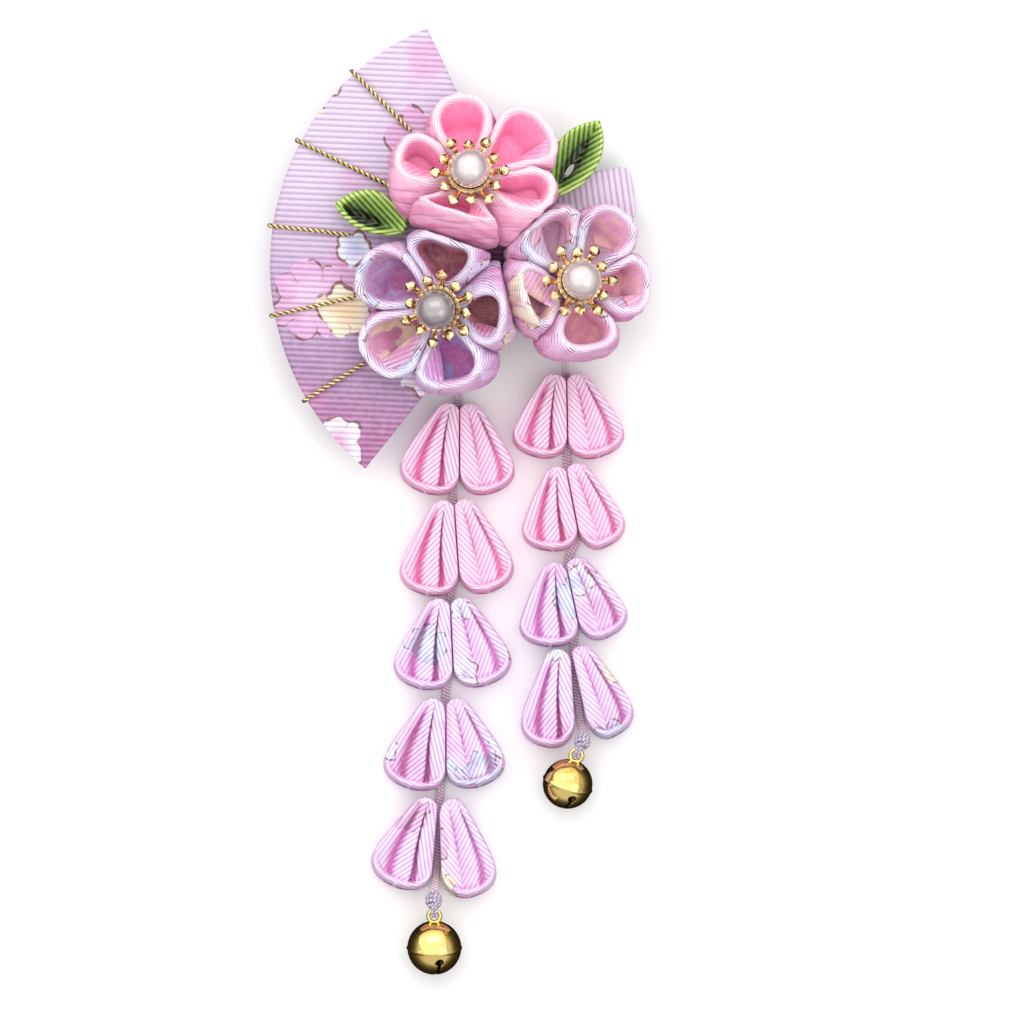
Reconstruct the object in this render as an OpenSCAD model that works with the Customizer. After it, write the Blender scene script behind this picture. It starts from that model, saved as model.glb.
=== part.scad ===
// Hair barrette of folded ribbon: a fan and three flowers on a clip, with two
// petal strands that end in bells. It lies on its back on the surface z = 0,
// +Y runs up from the bells to the flowers and the origin is under the clip.

/* [Clip] */
// Length of the clip
clip_length = 49; // [46:0.5:50]
// Width of the clip
clip_width = 9.4; // [9:0.2:10]
// Height of the closed clip
clip_height = 7; // [6.6:0.1:7.2]
// Thickness of the clip's sheet metal
clip_sheet = 0.8; // [0.6:0.1:0.9]
// Angle of the clip to the X axis
clip_turn = 8; // [6:1:10]
// Thickness of the ribbon on the clip
sleeve_wall = 0.7; // [0.5:0.1:0.8]

/* [Fan] */
// Distance from the fan's pivot to its round edge, at the upper edge
fan_radius = 48; // [46:0.5:48.5]
// How much farther out the round edge is at the lower edge
fan_growth = 3.5; // [2.5:0.1:3.7]
// Thickness of the stiffened ribbon
fan_wall = 1.1; // [1:0.1:1.2]
// Direction of the fan's upper edge
fan_first = 115; // [113:1:117]
// Angle of each leaf of the fan
leaf_angle = 19.4; // [19:0.1:19.6]
// Diameter of the gold cords
fan_cord_d = 1.0; // [0.8:0.1:1.1]

/* [Flowers] */
// Thickness of a petal's wall
petal_wall = 1.0; // [0.9:0.05:1.1]
// Width of the rolled rim of a petal
petal_lip = 1.4; // [1.2:0.1:1.5]
// Diameter of the pearls
pearl_d = 7.8; // [7.6:0.1:8]
// Length of the six long stamens
long_ray = 6.9; // [6.6:0.1:7]
// Length of the six short stamens
short_ray = 5.7; // [5.4:0.1:5.8]
// Diameter of the stamens' round tips
tip_d = 1.8; // [1.6:0.1:1.9]

/* [Strands] */
// Half width of a hanging petal
drop_half_w = 6.6; // [6.2:0.1:6.8]
// Height of a hanging petal's rim over the surface
drop_rim = 5.6; // [5.4:0.1:5.8]
// Diameter of the strands' cords
cord_d = 1.1; // [0.9:0.1:1.2]
// Diameter of the left bell
left_bell_d = 10.6; // [10.2:0.1:10.8]
// Diameter of the right bell
right_bell_d = 9.8; // [9.6:0.1:10]

/* [Hidden] */
PAIRS_LEFT = 5;
PAIRS_RIGHT = 4;
FAN_CORDS = 5;
SIDES = ["a", "b"];

pink = "#F49AC4";
lilac = "#DDB4E6";
fan_pink = "#EED2F2";
green = "#7FB23A";
gold = "#D9AE45";
pearl_white = "#EFE3E0";
steel = "#B9BCC0";
thread = "#B8A8C8";

// Gap kept between two pieces that touch on the real object
gap = 0.15;

// The clip's ribbon goes round its upper arm, and the fan lies on that ribbon
sleeve_top = clip_height + gap + sleeve_wall;
fan_under = sleeve_top + gap;
fan_top = fan_under + fan_wall;
fan_pivot = [6.1, -8.7];
fan_inner = 6;
leaves = FAN_CORDS + 1;
leaf_crown = 0.35;
// Inner end of each cord of the fan: distance from the pivot, and thickness of its knot
// in cords, where 1 is a plain end under a flower
fan_cord_ends = [[34.6, 1], [30.4, 1.9], [36.4, 1], [36, 1], [39.2, 1]];

// Flowers: middle of the foot, tilt, the direction it leans to, and the turn of its stamens
// columns: x, y, z, tilt, lean, stamen turn
F_TILT = 3;
F_LEAN = 4;
F_TURN = 5;
pink_flower = [-6.3, 4.8, 13.5, 20, 85, 2];
left_flower = [-10.6, -17.6, 13.0, 16, 215, 21];
right_flower = [12.6, -14.2, 11.4, 18, 20, 2];

// The three flowers press on each other along upright planes that meet at one point.
// For each flower, the directions in which its neighbours lie
cluster_middle = [-0.8, -8.6];
pink_walls = [251, -46.5];
left_walls = [71, 13];
right_walls = [133.5, 193];

// Petals of a flower, clockwise, a row for each, seen from its middle
// columns: direction, rim end, rim half width, rim height at the end,
// foot direction, foot end, foot half width
P_DIR = 0;
P_END = 1;
P_HALF = 2;
P_HIGH = 3;
P_FOOT_DIR = 4;
P_FOOT_END = 5;
P_FOOT_HALF = 6;
pink_petals = [
    [97, 16.2, 5.8, 7.2, 99, 12.0, 5.6],
    [34, 18.0, 7.2, 7.4, 34, 13.0, 6.4],
    [-16, 16.8, 5.0, 7.6, -32, 15.4, 7.2],
    [-108, 9.4, 8.0, 7.8, -106, 12.4, 9.0],
    [162, 14.6, 5.2, 7.2, 180, 14.4, 7.2],
];
left_petals = [
    [86, 14.9, 6.9, 7.4, 84, 13.2, 7.2],
    [-9, 13.4, 5.8, 7.4, 2, 13.8, 8.0],
    [-81, 15.6, 6.8, 7.4, -78, 16.2, 7.6],
    [-143, 17.6, 6.4, 7.2, -143, 12.8, 5.8],
    [152, 17.2, 6.3, 7.2, 152, 12.8, 5.8],
];
right_petals = [
    [117, 14.6, 6.7, 7.4, 127, 14.0, 7.2],
    [56, 16.4, 5.7, 7.4, 58, 12.6, 5.6],
    [-1, 14.4, 6.0, 7.4, 0, 11.6, 5.8],
    [-80, 13.6, 6.2, 7.4, -88, 14.2, 7.6],
    [-162, 11.9, 6.6, 7.4, -164, 12.8, 7.6],
];
petal_start = 2.6;
rim_start_high = 4.0;
petal_belly = 0.28;
petal_sharp = [0.55, 0];
foot_sharp = [0.3, -0.3];
petal_bulge = 1.05;
lip_high = 0.6;
floor_share = 0.4;

// Stamens and pearl stand over the petals' inner ends
ring_under = 4.9;
ring_high = 0.8;
ring_outer = 3.3;
ring_inner = 2.4;
ray_rise = 2.0;
pearl_high = ring_under + ring_high + sqrt(pow(pearl_d / 2, 2) - pow(ring_inner, 2)) + 0.1;

leaf_sharp = [0.15, 0.45];
leaf_rim = [4.0, 4.4];

// Hanging petals, a row for each pair from the top down
// columns: x and y of the pair's top, lean of its middle line, opening between the two
// petals at their lower ends, then for the petal at the left (a) and at the right (b):
// distance of its tip from the middle line, tilt and length
D_LEAN = 2;
D_OPEN = 3;
D_TIP = [4, 7];
D_TILT = [5, 8];
D_LENGTH = [6, 9];
left_pairs = [
    [-8.1, -36.5, 0, 0, 1.5, 14.5, 17.9, 1.6, 10, 17.8],
    [-9.2, -54.9, 4, 0, 1.6, 13, 18.5, 1.5, 10, 18.6],
    [-9.9, -73.7, 2.5, 0, 1.8, 13, 17.7, 1.5, 13.5, 17.6],
    [-10.7, -92.8, 0, 0, 2.0, 14.5, 18.0, 1.5, 14, 17.6],
    [-12.1, -111.8, -1.5, 2.2, 1.7, 18.5, 18.3, 2.4, 9.5, 19.3],
];
right_pairs = [
    [12.3, -30.9, 1, 0, 2.0, 9, 16.3, 1.7, 12, 16.6],
    [12.1, -48.3, 11, 0, 1.5, 12, 16.2, 1.7, 3.5, 17.1],
    [12.0, -66.4, 12, 0, 2.0, 12.5, 16.2, 1.7, 6, 16.5],
    [13.0, -83.0, 8, 2.9, 2.3, 10, 19.0, 1.5, 9, 18.7],
];

// Cords of the strands: from under the flowers down to the surface, along it under the
// petals and up to the bells
left_route = [
    [-8.4, -25.5, 10.6], [-8.4, -28.4, 9.7], [-8.5, -30.8, 7.6], [-8.5, -33, 4.8],
    [-8.4, -34.9, 2.4], [-8.3, -36.6, 1.2], [-8.1, -38.6, 0.7], [-8.2, -42, 0.7],
    [-8.6, -46, 0.7], [-9.2, -50, 0.7], [-9.4, -54, 0.7], [-9.2, -58, 0.7],
    [-8.9, -62, 0.7], [-8.9, -66, 0.7], [-9.1, -70, 0.7], [-9.9, -73.5, 0.7],
    [-10.2, -77.5, 0.7], [-10.0, -81.5, 0.7], [-10.1, -85.5, 0.7], [-10.5, -89, 0.7],
    [-10.8, -92.5, 0.7], [-11.0, -97, 0.7], [-11.1, -101, 0.7], [-11.3, -105, 0.7],
    [-11.6, -109, 0.7], [-12.0, -112.5, 0.7], [-12.2, -117, 0.7], [-12.5, -121, 0.7],
    [-12.5, -124, 0.8], [-12.6, -126, 1.9], [-12.7, -127.6, 3.6], [-12.9, -129, 4.9],
    [-13.0, -129.8, 5.4], [-13.0, -130.4, 5.8], [-13.0, -131.8, 6.2], [-13.0, -132.5, 6.4]
];
right_route = [
    [12.0, -24.5, 11.8], [12.0, -27, 10.2], [12.0, -28.7, 7.0], [12.1, -29.8, 4.0],
    [12.2, -31, 1.9], [12.3, -32.6, 0.8], [12.3, -36, 0.7], [12.4, -40, 0.7],
    [12.5, -44, 0.7], [12.4, -48, 0.7], [12.6, -51.5, 0.7], [13.2, -55.5, 0.7],
    [14.0, -59.5, 0.7], [14.1, -62.8, 0.7], [12.6, -66.4, 0.7], [13.0, -70, 0.7],
    [13.6, -74, 0.7], [13.9, -78, 0.7], [13.8, -81, 0.7], [13.6, -84, 0.7],
    [13.9, -88, 0.7], [14.3, -92, 0.7], [14.8, -95.5, 0.8], [15.1, -97.4, 1.9],
    [15.4, -98.8, 3.6], [15.5, -99.9, 4.9], [15.4, -100.5, 5.4], [15.1, -101.4, 5.9],
    [14.7, -102, 6.1]
];
knot_d = 2.6;

// Bells: middle, turn of the loop from +Y and its rise from the surface
bell_wall = 0.45;
bell_rise = 12;
left_bell_at = [-12.9, -140.2];
left_bell_turn = 0;
right_bell_at = [12.5, -109.0];
right_bell_turn = -17;
loop_r = 1.1;
loop_wire = 0.35;
ball_d = 2.4;

function unit(v) = v / norm(v);

// A direction of the plane, turned by an angle
function turned(v, a) = [v.x * cos(a) - v.y * sin(a), v.x * sin(a) + v.y * cos(a)];

// A point of a petal's outline. It runs from reach[0] to reach[1] along X, is widest
// past its middle by the belly, and each end is round at sharpness 0, pointed near 1.
function outline_at(t, reach, half, belly, sharp) =
    let (c = cos(t), s = sin(t), part = (1 + c + belly * s * s) / 2)
    let (power = sharp[0] * (1 - c) / 2 + sharp[1] * (1 + c) / 2)
    let (wide = s > 0 ? half[0] : half[1])
    [reach[0] + (reach[1] - reach[0]) * part, wide * s * pow(max(abs(s), 0.001), power)];

// The outline as a ring of points, lifted from one height to another along its length
RING = 16;
function ring(reach, half, heights, sharp) = [
    for (i = [0:RING - 1])
    let (p = outline_at(360 * i / RING, reach, half, petal_belly, sharp))
    let (part = (p.x - reach[0]) / (reach[1] - reach[0]))
    [p.x, p.y, heights[0] + (heights[1] - heights[0]) * part]
];

function ring_turned(points, a) = [for (p = points) concat(turned(p, a), p.z)];
// A ring drawn in towards its middle and lifted along a direction
function drawn_in(points, amount, lift) =
    let (c = middle(points))
    [for (p = points) p + (c - p) * min(0.7, amount / norm(c - p)) + lift];

// Half of the angle from one direction to another, between -90 and 90
function half_way(from, to) = ((((to - from) % 360) + 540) % 360 - 180) / 2;

// Directions of the lines that a petal shares with its two neighbours, at rim or foot
function share(rows, i, column) =
    let (n = len(rows), own = rows[i][column])
    [own + half_way(own, rows[(i + 1) % n][column]), own + half_way(own, rows[(i + n - 1) % n][column])];

// Points held between the two lines, and a margin inside them
function held(points, lines, margin) = [for (p = points)
    let (n1 = turned([0, -1], lines[0]), n2 = turned([0, 1], lines[1]))
    let (d1 = max(0, [p.x, p.y] * n1 + margin), q = [p.x, p.y] - d1 * n1)
    let (d2 = max(0, q * n2 + margin), r = q - d2 * n2)
    [r.x, r.y, p.z]];

// A point of a tilted flower in the frame of the barrette
function from_flower(flower, p) =
    let (k = [-sin(flower[F_LEAN]), cos(flower[F_LEAN]), 0], t = flower[F_TILT])
    [flower.x, flower.y, flower.z] + p * cos(t) + cross(k, p) * sin(t) + k * (k * p) * (1 - cos(t));

// Points of a flower, held back from the upright planes shared with the other flowers
function pressed(points, flower, walls) = [for (local = points)
    let (p = from_flower(flower, local))
    let (n1 = turned([1, 0], walls[0]), n2 = turned([1, 0], walls[1]))
    let (d1 = max(0, ([p.x, p.y] - cluster_middle) * n1 + gap / 2), q = [p.x, p.y] - d1 * n1)
    let (d2 = max(0, (q - cluster_middle) * n2 + gap / 2), r = q - d2 * n2)
    [r.x, r.y, p.z]];

// A point in the middle of a ring
function middle(points) =
    let (n = len(points))
    [for (k = [0:2]) [for (p = points) p[k]] * [for (i = [1:n]) 1 / n]];

// A closed skin through rings of equal count, with a point that closes each end
module skin(rings, first, last) {
    n = len(rings[0]);
    top = 1 + len(rings) * n;
    polyhedron(
        concat([first], [for (r = rings) each r], [last]),
        concat(
            [for (i = [0:n - 1]) [0, 1 + i, 1 + (i + 1) % n]],
            [for (k = [0:len(rings) - 2]) for (i = [0:n - 1])
                let (a = 1 + k * n + i, b = 1 + k * n + (i + 1) % n)
                each [[a, b + n, b], [a, a + n, b + n]]],
            [for (i = [0:n - 1]) [top, top - n + (i + 1) % n, top - n + i]]
        ),
        convexity = 8
    );
}

// A round tube along a route, with a radius for each point and a direction to its side
module tube(route, radii, sides, side) {
    last = len(route) - 1;
    rings = [for (k = [0:last])
        let (way = unit(route[min(k + 1, last)] - route[max(k - 1, 0)]))
        let (u = unit(side - way * (side * way)), v = cross(way, u))
        [for (i = [0:sides - 1]) let (a = 360 * (i + 0.5) / sides)
            route[k] + radii[k] * (cos(a) * u + sin(a) * v)]];
    skin(rings, route[0], route[last]);
}

// Outer rings of a folded ribbon cup: foot, belly and edge. Rim and foot are given as
// [reach, half widths, direction, sharpness], and the lines are those shared with neighbours.
function cup_outside(rim, foot, heights, rim_lines, foot_lines) =
    let (edge = held(ring_turned(ring(rim[0], rim[1], heights, rim[3]), rim[2]), rim_lines, gap / 2))
    let (base = held(ring_turned(ring(foot[0], foot[1], [0, 0], foot[3]), foot[2]), foot_lines, gap / 2))
    let (c = middle(edge), mid_lines = (rim_lines + foot_lines) / 2)
    let (belly = held([for (i = [0:RING - 1]) let (m = (base[i] + edge[i]) / 2)
        [c.x + (m.x - c.x) * petal_bulge, c.y + (m.y - c.y) * petal_bulge, m.z]], mid_lines, gap / 2))
    [base, belly, edge];

// The cup: its outer rings, the rolled lip, and the inner wall down to the floor
module cup(outside, up) {
    base = outside[0];
    belly = outside[1];
    edge = outside[2];
    low = [for (i = [0:RING - 1]) base[i] + (belly[i] - base[i]) * floor_share];
    still = [0, 0, 0];
    bottom = drawn_in(low, petal_wall * 1.3, still);
    skin([
        base, belly, edge, drawn_in(edge, petal_lip / 2, up * lip_high), drawn_in(edge, petal_lip, still),
        drawn_in(belly, petal_wall * 1.3, still), bottom
    ], middle(base), middle(bottom));
}

module flower_petal(flower, walls, rows, i) {
    row = rows[i];
    outside = cup_outside(
        [[petal_start, row[P_END]], [row[P_HALF], row[P_HALF]], row[P_DIR], petal_sharp],
        [[petal_start, row[P_FOOT_END]], [row[P_FOOT_HALF], row[P_FOOT_HALF]], row[P_FOOT_DIR], foot_sharp],
        [rim_start_high, row[P_HIGH]] - [lip_high, lip_high],
        share(rows, i, P_DIR), share(rows, i, P_FOOT_DIR));
    up = from_flower(flower, [0, 0, 1]) - from_flower(flower, [0, 0, 0]);
    cup([for (r = outside) pressed(r, flower, walls)], up);
}

module pink_petal(i) {
    color(pink) flower_petal(pink_flower, pink_walls, pink_petals, i - 1);
}

module left_petal(i) {
    color(lilac) flower_petal(left_flower, left_walls, left_petals, i - 1);
}

module right_petal(i) {
    color(lilac) flower_petal(right_flower, right_walls, right_petals, i - 1);
}

module place_flower(flower) {
    lean = flower[F_LEAN];
    translate([flower.x, flower.y, flower.z]) rotate(flower[F_TILT], [-sin(lean), cos(lean), 0]) children();
}

// One cast ring with twelve rays, long and short in turn, each with a round tip
module stamens(flower) {
    color(gold)
        place_flower(flower)
            translate([0, 0, ring_under])
                rotate([0, 0, flower[F_TURN]]) {
                    difference() {
                        cylinder(h = ring_high, r = ring_outer, $fn = 48);
                        translate([0, 0, -1]) cylinder(h = ring_high + 2, r = ring_inner, $fn = 48);
                    }
                    for (i = [0:11]) rotate([0, 0, 30 * i]) ray(i % 2 == 0 ? long_ray : short_ray);
                }
}

module ray(reach) {
    start = (ring_outer + ring_inner) / 2;
    run = reach - start;
    slope = atan(ray_rise / (long_ray - start));
    translate([start, 0, ring_high / 2])
        rotate([0, 90 - slope, 0]) {
            cylinder(h = run / cos(slope), r1 = 0.38, r2 = 0.5, $fn = 20);
            translate([0, 0, run / cos(slope)]) sphere(d = tip_d, $fn = 20);
        }
}

module pearl(flower) {
    color(pearl_white)
        place_flower(flower) translate([0, 0, pearl_high]) sphere(d = pearl_d, $fn = 48);
}

// Spring clip of one bent sheet, closed: a flat lower jaw, an arched upper arm and a thumb tab
module clip() {
    half = clip_length / 2;
    s = clip_sheet;
    color(steel)
        rotate([90, 0, clip_turn])
            translate([0, 0, -clip_width / 2])
                linear_extrude(clip_width)
                    polygon([
                        [half - 2, 0], [-half + 9, 0], [-half + 4, 1.6], [-half, 2.2],
                        [-half, 2.2 + s], [-half + 4, 1.6 + s], [-half + 8, 1.6 + s],
                        [-half + 8, clip_height - 1.6 - s], [-half + 4, clip_height - 0.8 - s],
                        [-half, clip_height - s], [-half, clip_height], [half - 3, clip_height],
                        [half, clip_height - 1.4], [half, 0.6], [half - 1, 0.6],
                        [half - 1, clip_height - 2], [half - 3.5, clip_height - s],
                        [-half + 14, clip_height - s], [-half + 10, clip_height - 1.6 - s],
                        [-half + 10, s], [half - 2, s]
                    ]);
}

// Ribbon folded round the front of the clip's upper arm, with rounded corners
module clip_ribbon() {
    out = clip_length / 2 + gap;
    w = clip_width + 1;
    corner = 2;
    color(fan_pink)
        rotate([0, 0, clip_turn])
            intersection() {
                rotate([90, 0, 0])
                    translate([0, 0, -w / 2])
                        linear_extrude(w)
                            polygon([
                                [-out + 4, sleeve_top - sleeve_wall], [out, sleeve_top - sleeve_wall],
                                [out, 1], [out + sleeve_wall, 1], [out + sleeve_wall, sleeve_top],
                                [-out + 4, sleeve_top]
                            ]);
                linear_extrude(sleeve_top + 1) ribbon_plan(out + sleeve_wall, w, corner);
            }
}

// A strip of the plane with two rounded corners at its right end
module ribbon_plan(reach, w, corner) {
    translate([-reach, -w / 2]) square([2 * reach - corner, w]);
    translate([0, -w / 2 + corner]) square([reach, w - 2 * corner]);
    for (s = [-1, 1]) translate([reach - corner, s * (w / 2 - corner)]) circle(r = corner, $fn = 32);
}

// Distance of the round edge from the pivot, part of the way from the upper edge to the lower
function fan_edge(part) = fan_radius + fan_growth * pow(part, 0.8);

// One stiff ribbon cut as a fan, a little higher along the middle of each leaf than at
// its cords: cross-sections from the pivot to the round edge, two for each leaf
module fan_panel() {
    steps = leaves * 2;
    section = [[fan_inner, 0, 0], [0, 0.5, 0], [0, 1, 0], [0, 1, 1], [0, 0.5, 1], [fan_inner, 0, 1]];
    rows = [for (i = [steps:-1:0])
        let (a = fan_first + leaf_angle * i / 2, crown = i % 2 == 0 ? 0 : leaf_crown)
        [for (s = section)
            let (r = s.x + s.y * fan_edge(i / steps), z = fan_under + s.z * fan_wall)
            [fan_pivot.x + r * cos(a), fan_pivot.y + r * sin(a), z + crown * s.y]]];
    color(fan_pink) skin(rows, middle(rows[0]), middle(rows[steps]));
}

// Twisted cord along a crease of the fan, from its knot over the round edge to the back
module fan_cord(i) {
    r = fan_cord_d / 2;
    over = fan_top + gap + r;
    under = fan_under - gap - r;
    edge = fan_edge(i / leaves);
    past = edge + gap + r;
    start = fan_cord_ends[i - 1].x;
    knot = r * fan_cord_ends[i - 1].y;
    rest = over + knot - r;
    route = [
        [start - 1.3, 0, rest], [start - 0.8, 0, rest], [start, 0, rest], [start + 0.7, 0, (rest + over) / 2],
        [start + 1.4, 0, over], [(start + edge) / 2, 0, over], [edge + 0.1, 0, over],
        [past - 0.1, 0, over - 0.4], [past, 0, (over + under) / 2], [past - 0.1, 0, under + 0.4],
        [edge + 0.1, 0, under], [edge - 3.5, 0, under]
    ];
    radii = [r * 0.6, (knot + r) / 2, knot, (knot + r) / 2, r, r, r, r, r, r, r, r * 0.9];
    color(gold)
        translate([fan_pivot.x, fan_pivot.y, 0])
            rotate([0, 0, fan_first + leaf_angle * i])
                tube(route, radii, 6, [0, 1, 0]);
}

// Pointed leaf folded like a petal, with its hollow open to the top
module leaf(at, direction, rim, foot) {
    free = [-89, 89];
    color(green)
        translate(at)
            rotate([0, 0, direction])
                cup(cup_outside(concat(rim, [0, leaf_sharp]), concat(foot, [0, leaf_sharp]), leaf_rim, free, free),
                    [0, 0, 1]);
}

module leaf_left() {
    leaf([-18.1, -3.4, fan_top + leaf_crown + gap], 161, [[0, 14.2], [2.8, 4.9]], [[0.3, 12.6], [4.4, 3.4]]);
}

module leaf_right() {
    leaf([9.3, 3.2, sleeve_top + gap], 56.5, [[-0.8, 16.6], [4.3, 4.5]], [[0, 14.4], [3.2, 3.6]]);
}

// Width of a hanging petal along its length: broad at the tip's end already, widest
// four fifths of the way down, and closed by a round end
function drop_width(f) = sqrt(1 - pow(f, 6)) * (0.25 + 1.11 * pow(f, 0.92));

// Height of its rim and of its foot over the surface
function drop_top(f) = f < 0.45 ? 4.4 + (drop_rim - 4.4) * f / 0.45 : drop_rim - 2.2 * pow(max(f - 0.9, 0) * 10, 2);
function drop_under(f) = f < 0.4 ? 2.7 * (1 - f / 0.4) : 1.0 * pow(max(f - 0.9, 0) * 10, 2);

// Stations along the petal from its round end up to the tip: how far down each lies, and
// how deep its valleys are there
stations = [
    [0.995, 0.05], [0.965, 0.1], [0.91, 0.15], [0.885, 2.3], [0.8, 2.6], [0.65, 2.7],
    [0.45, 2.5], [0.25, 1.7], [0.1, 0.9], [0, 0.3]
];

// Hanging petal, tip at the origin and length along X, the cord at its +Y side. Across, it
// has an outer wall, a wide valley, the folded tongue, a narrow slit and the inner wall.
module drop_petal(tip, tilt, length, open, slit) {
    last = len(stations) - 1;
    tongue_out = 0.35;
    tongue_in = 0.74;
    rings = [for (st = stations)
        let (f = st[0], deep = st[1], x = f * length, w = drop_half_w * drop_width(f))
        let (line = (tip + x * sin(tilt) - (gap + f * open) / 2) / cos(tilt), y1 = min(0.95 * w, line), y0 = -w)
        let (top = drop_top(f), low = drop_under(f), wide = y1 - y0, rise = top - low)
        [for (p = [
            [0.27, low], [0.02, low + 0.5 * rise], [0.03, top - 0.25], [0.08, top],
            [tongue_out - 0.04, top - deep], [tongue_out, top - 0.32 * deep],
            [tongue_in, top - 0.08 * deep], [tongue_in + 0.03, top - deep * slit],
            [tongue_in + 0.07, top - 0.02 * deep], [0.98, top], [1, low + 0.55 * rise], [0.73, low]])
            [x, y0 + wide * p[0], p[1]]]];
    skin(rings, middle(rings[0]) + [0.05, 0, 0], middle(rings[last]) - [0.1, 0, 0]);
}

module drop_of(row, side) {
    s = side == "a" ? 0 : 1;
    tip = row[D_TIP[s]];
    tilt = row[D_TILT[s]];
    translate([row.x, row.y, 0])
        rotate([0, 0, row[D_LEAN]])
            mirror([s, 0, 0])
                translate([-tip, 0, 0])
                    rotate([0, 0, -90 - tilt])
                        drop_petal(tip, tilt, row[D_LENGTH[s]], row[D_OPEN], s == 0 ? 0.9 : 0.35);
}

module left_pair(i, side) {
    color(i < 3 ? pink : lilac) drop_of(left_pairs[i - 1], side);
}

module right_pair(i, side) {
    color(i < 3 ? pink : lilac) drop_of(right_pairs[i - 1], side);
}

// Radius along a strand's cord: plain, then the knot over the bell's loop
module strand_cord(route) {
    last = len(route) - 1;
    radii = [for (k = [0:last]) k == last ? 0.5 : k > last - 4 && k < last ? knot_d / 2 - 0.1 * abs(k - last + 2)
        : cord_d / 2];
    color(thread) tube(route, radii, 8, [1, 0, 0]);
}

module left_cord() {
    strand_cord(left_route);
}

module right_cord() {
    strand_cord(right_route);
}

module place_bell(at, d, turn) {
    translate([at.x, at.y, d / 2]) rotate([0, 0, turn]) rotate([-90 + bell_rise, 0, 0]) children();
}

// Hollow round bell: a seam round its middle, a slot with two holes, and a loop
module bell(at, d, turn) {
    r = d / 2;
    slot_w = 0.9;
    hole_r = 0.8;
    color(gold)
        place_bell(at, d, turn) {
            difference() {
                union() {
                    sphere(r = r - 0.12, $fn = 64);
                    translate([0, 0, -0.35]) cylinder(h = 0.7, r = r, $fn = 64);
                }
                sphere(r = r - bell_wall - 0.12, $fn = 64);
                translate([-slot_w / 2, -0.7 * r, -2 * r]) cube([slot_w, 1.4 * r, 2 * r - 0.25 * r]);
                for (s = [-1, 1]) translate([0, s * 0.68 * r, -2 * r]) cylinder(h = 1.6 * r, r = hole_r, $fn = 24);
            }
            translate([0, 0, r + loop_r - 0.25])
                rotate([90, 0, 0])
                    rotate_extrude($fn = 32) translate([loop_r, 0]) circle(r = loop_wire, $fn = 16);
        }
}

module left_bell() {
    bell(left_bell_at, left_bell_d, left_bell_turn);
}

module right_bell() {
    bell(right_bell_at, right_bell_d, right_bell_turn);
}

// Loose ball that rings the bell, lying at the bottom of its hollow
module bell_ball(at) {
    color(steel) translate([at.x, at.y, bell_wall + 0.12 + gap + ball_d / 2]) sphere(d = ball_d, $fn = 24);
}

clip();
clip_ribbon();
fan_panel();
for (i = [1:FAN_CORDS])
    fan_cord(i);
for (i = [1:5])
    pink_petal(i);
for (i = [1:5])
    left_petal(i);
for (i = [1:5])
    right_petal(i);
stamens(pink_flower);  // pink_stamens
stamens(left_flower);  // left_stamens
stamens(right_flower);  // right_stamens
pearl(pink_flower);  // pink_pearl
pearl(left_flower);  // left_pearl
pearl(right_flower);  // right_pearl
leaf_left();
leaf_right();
left_cord();
right_cord();
for (i = [1:PAIRS_LEFT]) for (s = SIDES)
    left_pair(i, s);
for (i = [1:PAIRS_RIGHT]) for (s = SIDES)
    right_pair(i, s);
left_bell();
right_bell();
bell_ball(left_bell_at);  // left_bell_ball
bell_ball(right_bell_at);  // right_bell_ball
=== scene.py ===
import math

import bpy
import numpy as np
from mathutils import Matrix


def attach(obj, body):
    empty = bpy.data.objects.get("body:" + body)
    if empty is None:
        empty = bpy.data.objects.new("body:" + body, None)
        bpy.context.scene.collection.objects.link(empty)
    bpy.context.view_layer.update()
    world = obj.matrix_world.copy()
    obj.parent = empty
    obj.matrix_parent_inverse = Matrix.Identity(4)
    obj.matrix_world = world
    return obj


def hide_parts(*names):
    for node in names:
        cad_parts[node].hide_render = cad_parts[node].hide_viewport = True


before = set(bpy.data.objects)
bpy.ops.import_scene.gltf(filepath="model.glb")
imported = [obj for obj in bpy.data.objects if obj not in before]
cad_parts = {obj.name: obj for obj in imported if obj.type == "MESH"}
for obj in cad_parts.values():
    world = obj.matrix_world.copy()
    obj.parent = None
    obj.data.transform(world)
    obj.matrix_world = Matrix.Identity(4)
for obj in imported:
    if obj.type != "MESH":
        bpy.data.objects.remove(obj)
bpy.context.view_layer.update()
mm = 0.001
mmPerCm = 10
printReach = 30  # centimetres
tiny = 1e-9
faint = 0.001  # keeps a share away from 0 where it divides or is raised to a power
axisX, axisY, axisZ = np.eye(3)
rng = np.random.default_rng(12)  # one seed for every random draw, taken in the order of the pieces
print("frame loaded, nodes:", len(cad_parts))


# Numbers and vectors

def stacked(*parts):
    # coordinates that broadcast to one shape, put together as points
    return np.stack(np.broadcast_arrays(*parts), axis=-1)


def circle(count, start=0.0):
    # angles at even steps round a full turn: 2 pi (i + start) / count
    return 2 * np.pi * (np.arange(count) + start) / count


def around(angles, u, v):
    # cos a * u + sin a * v for every angle, and for every pair of vectors
    return np.cos(angles)[:, None] * u[..., None, :] + np.sin(angles)[:, None] * v[..., None, :]


def ripple(turns):
    # cos(2 pi turns), highest at every whole turn
    return np.cos(2 * np.pi * turns)


def unit(v):
    # v divided by its length, for a whole array of vectors
    return v / np.maximum(np.linalg.norm(v, axis=-1, keepdims=True), tiny)


def turned(points, degrees):
    # x' = x cos a - y sin a, y' = x sin a + y cos a, and z stays
    a = math.radians(degrees)
    x, y, z = np.moveaxis(points, -1, 0)
    return stacked(x * math.cos(a) - y * math.sin(a), x * math.sin(a) + y * math.cos(a), z)


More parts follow.
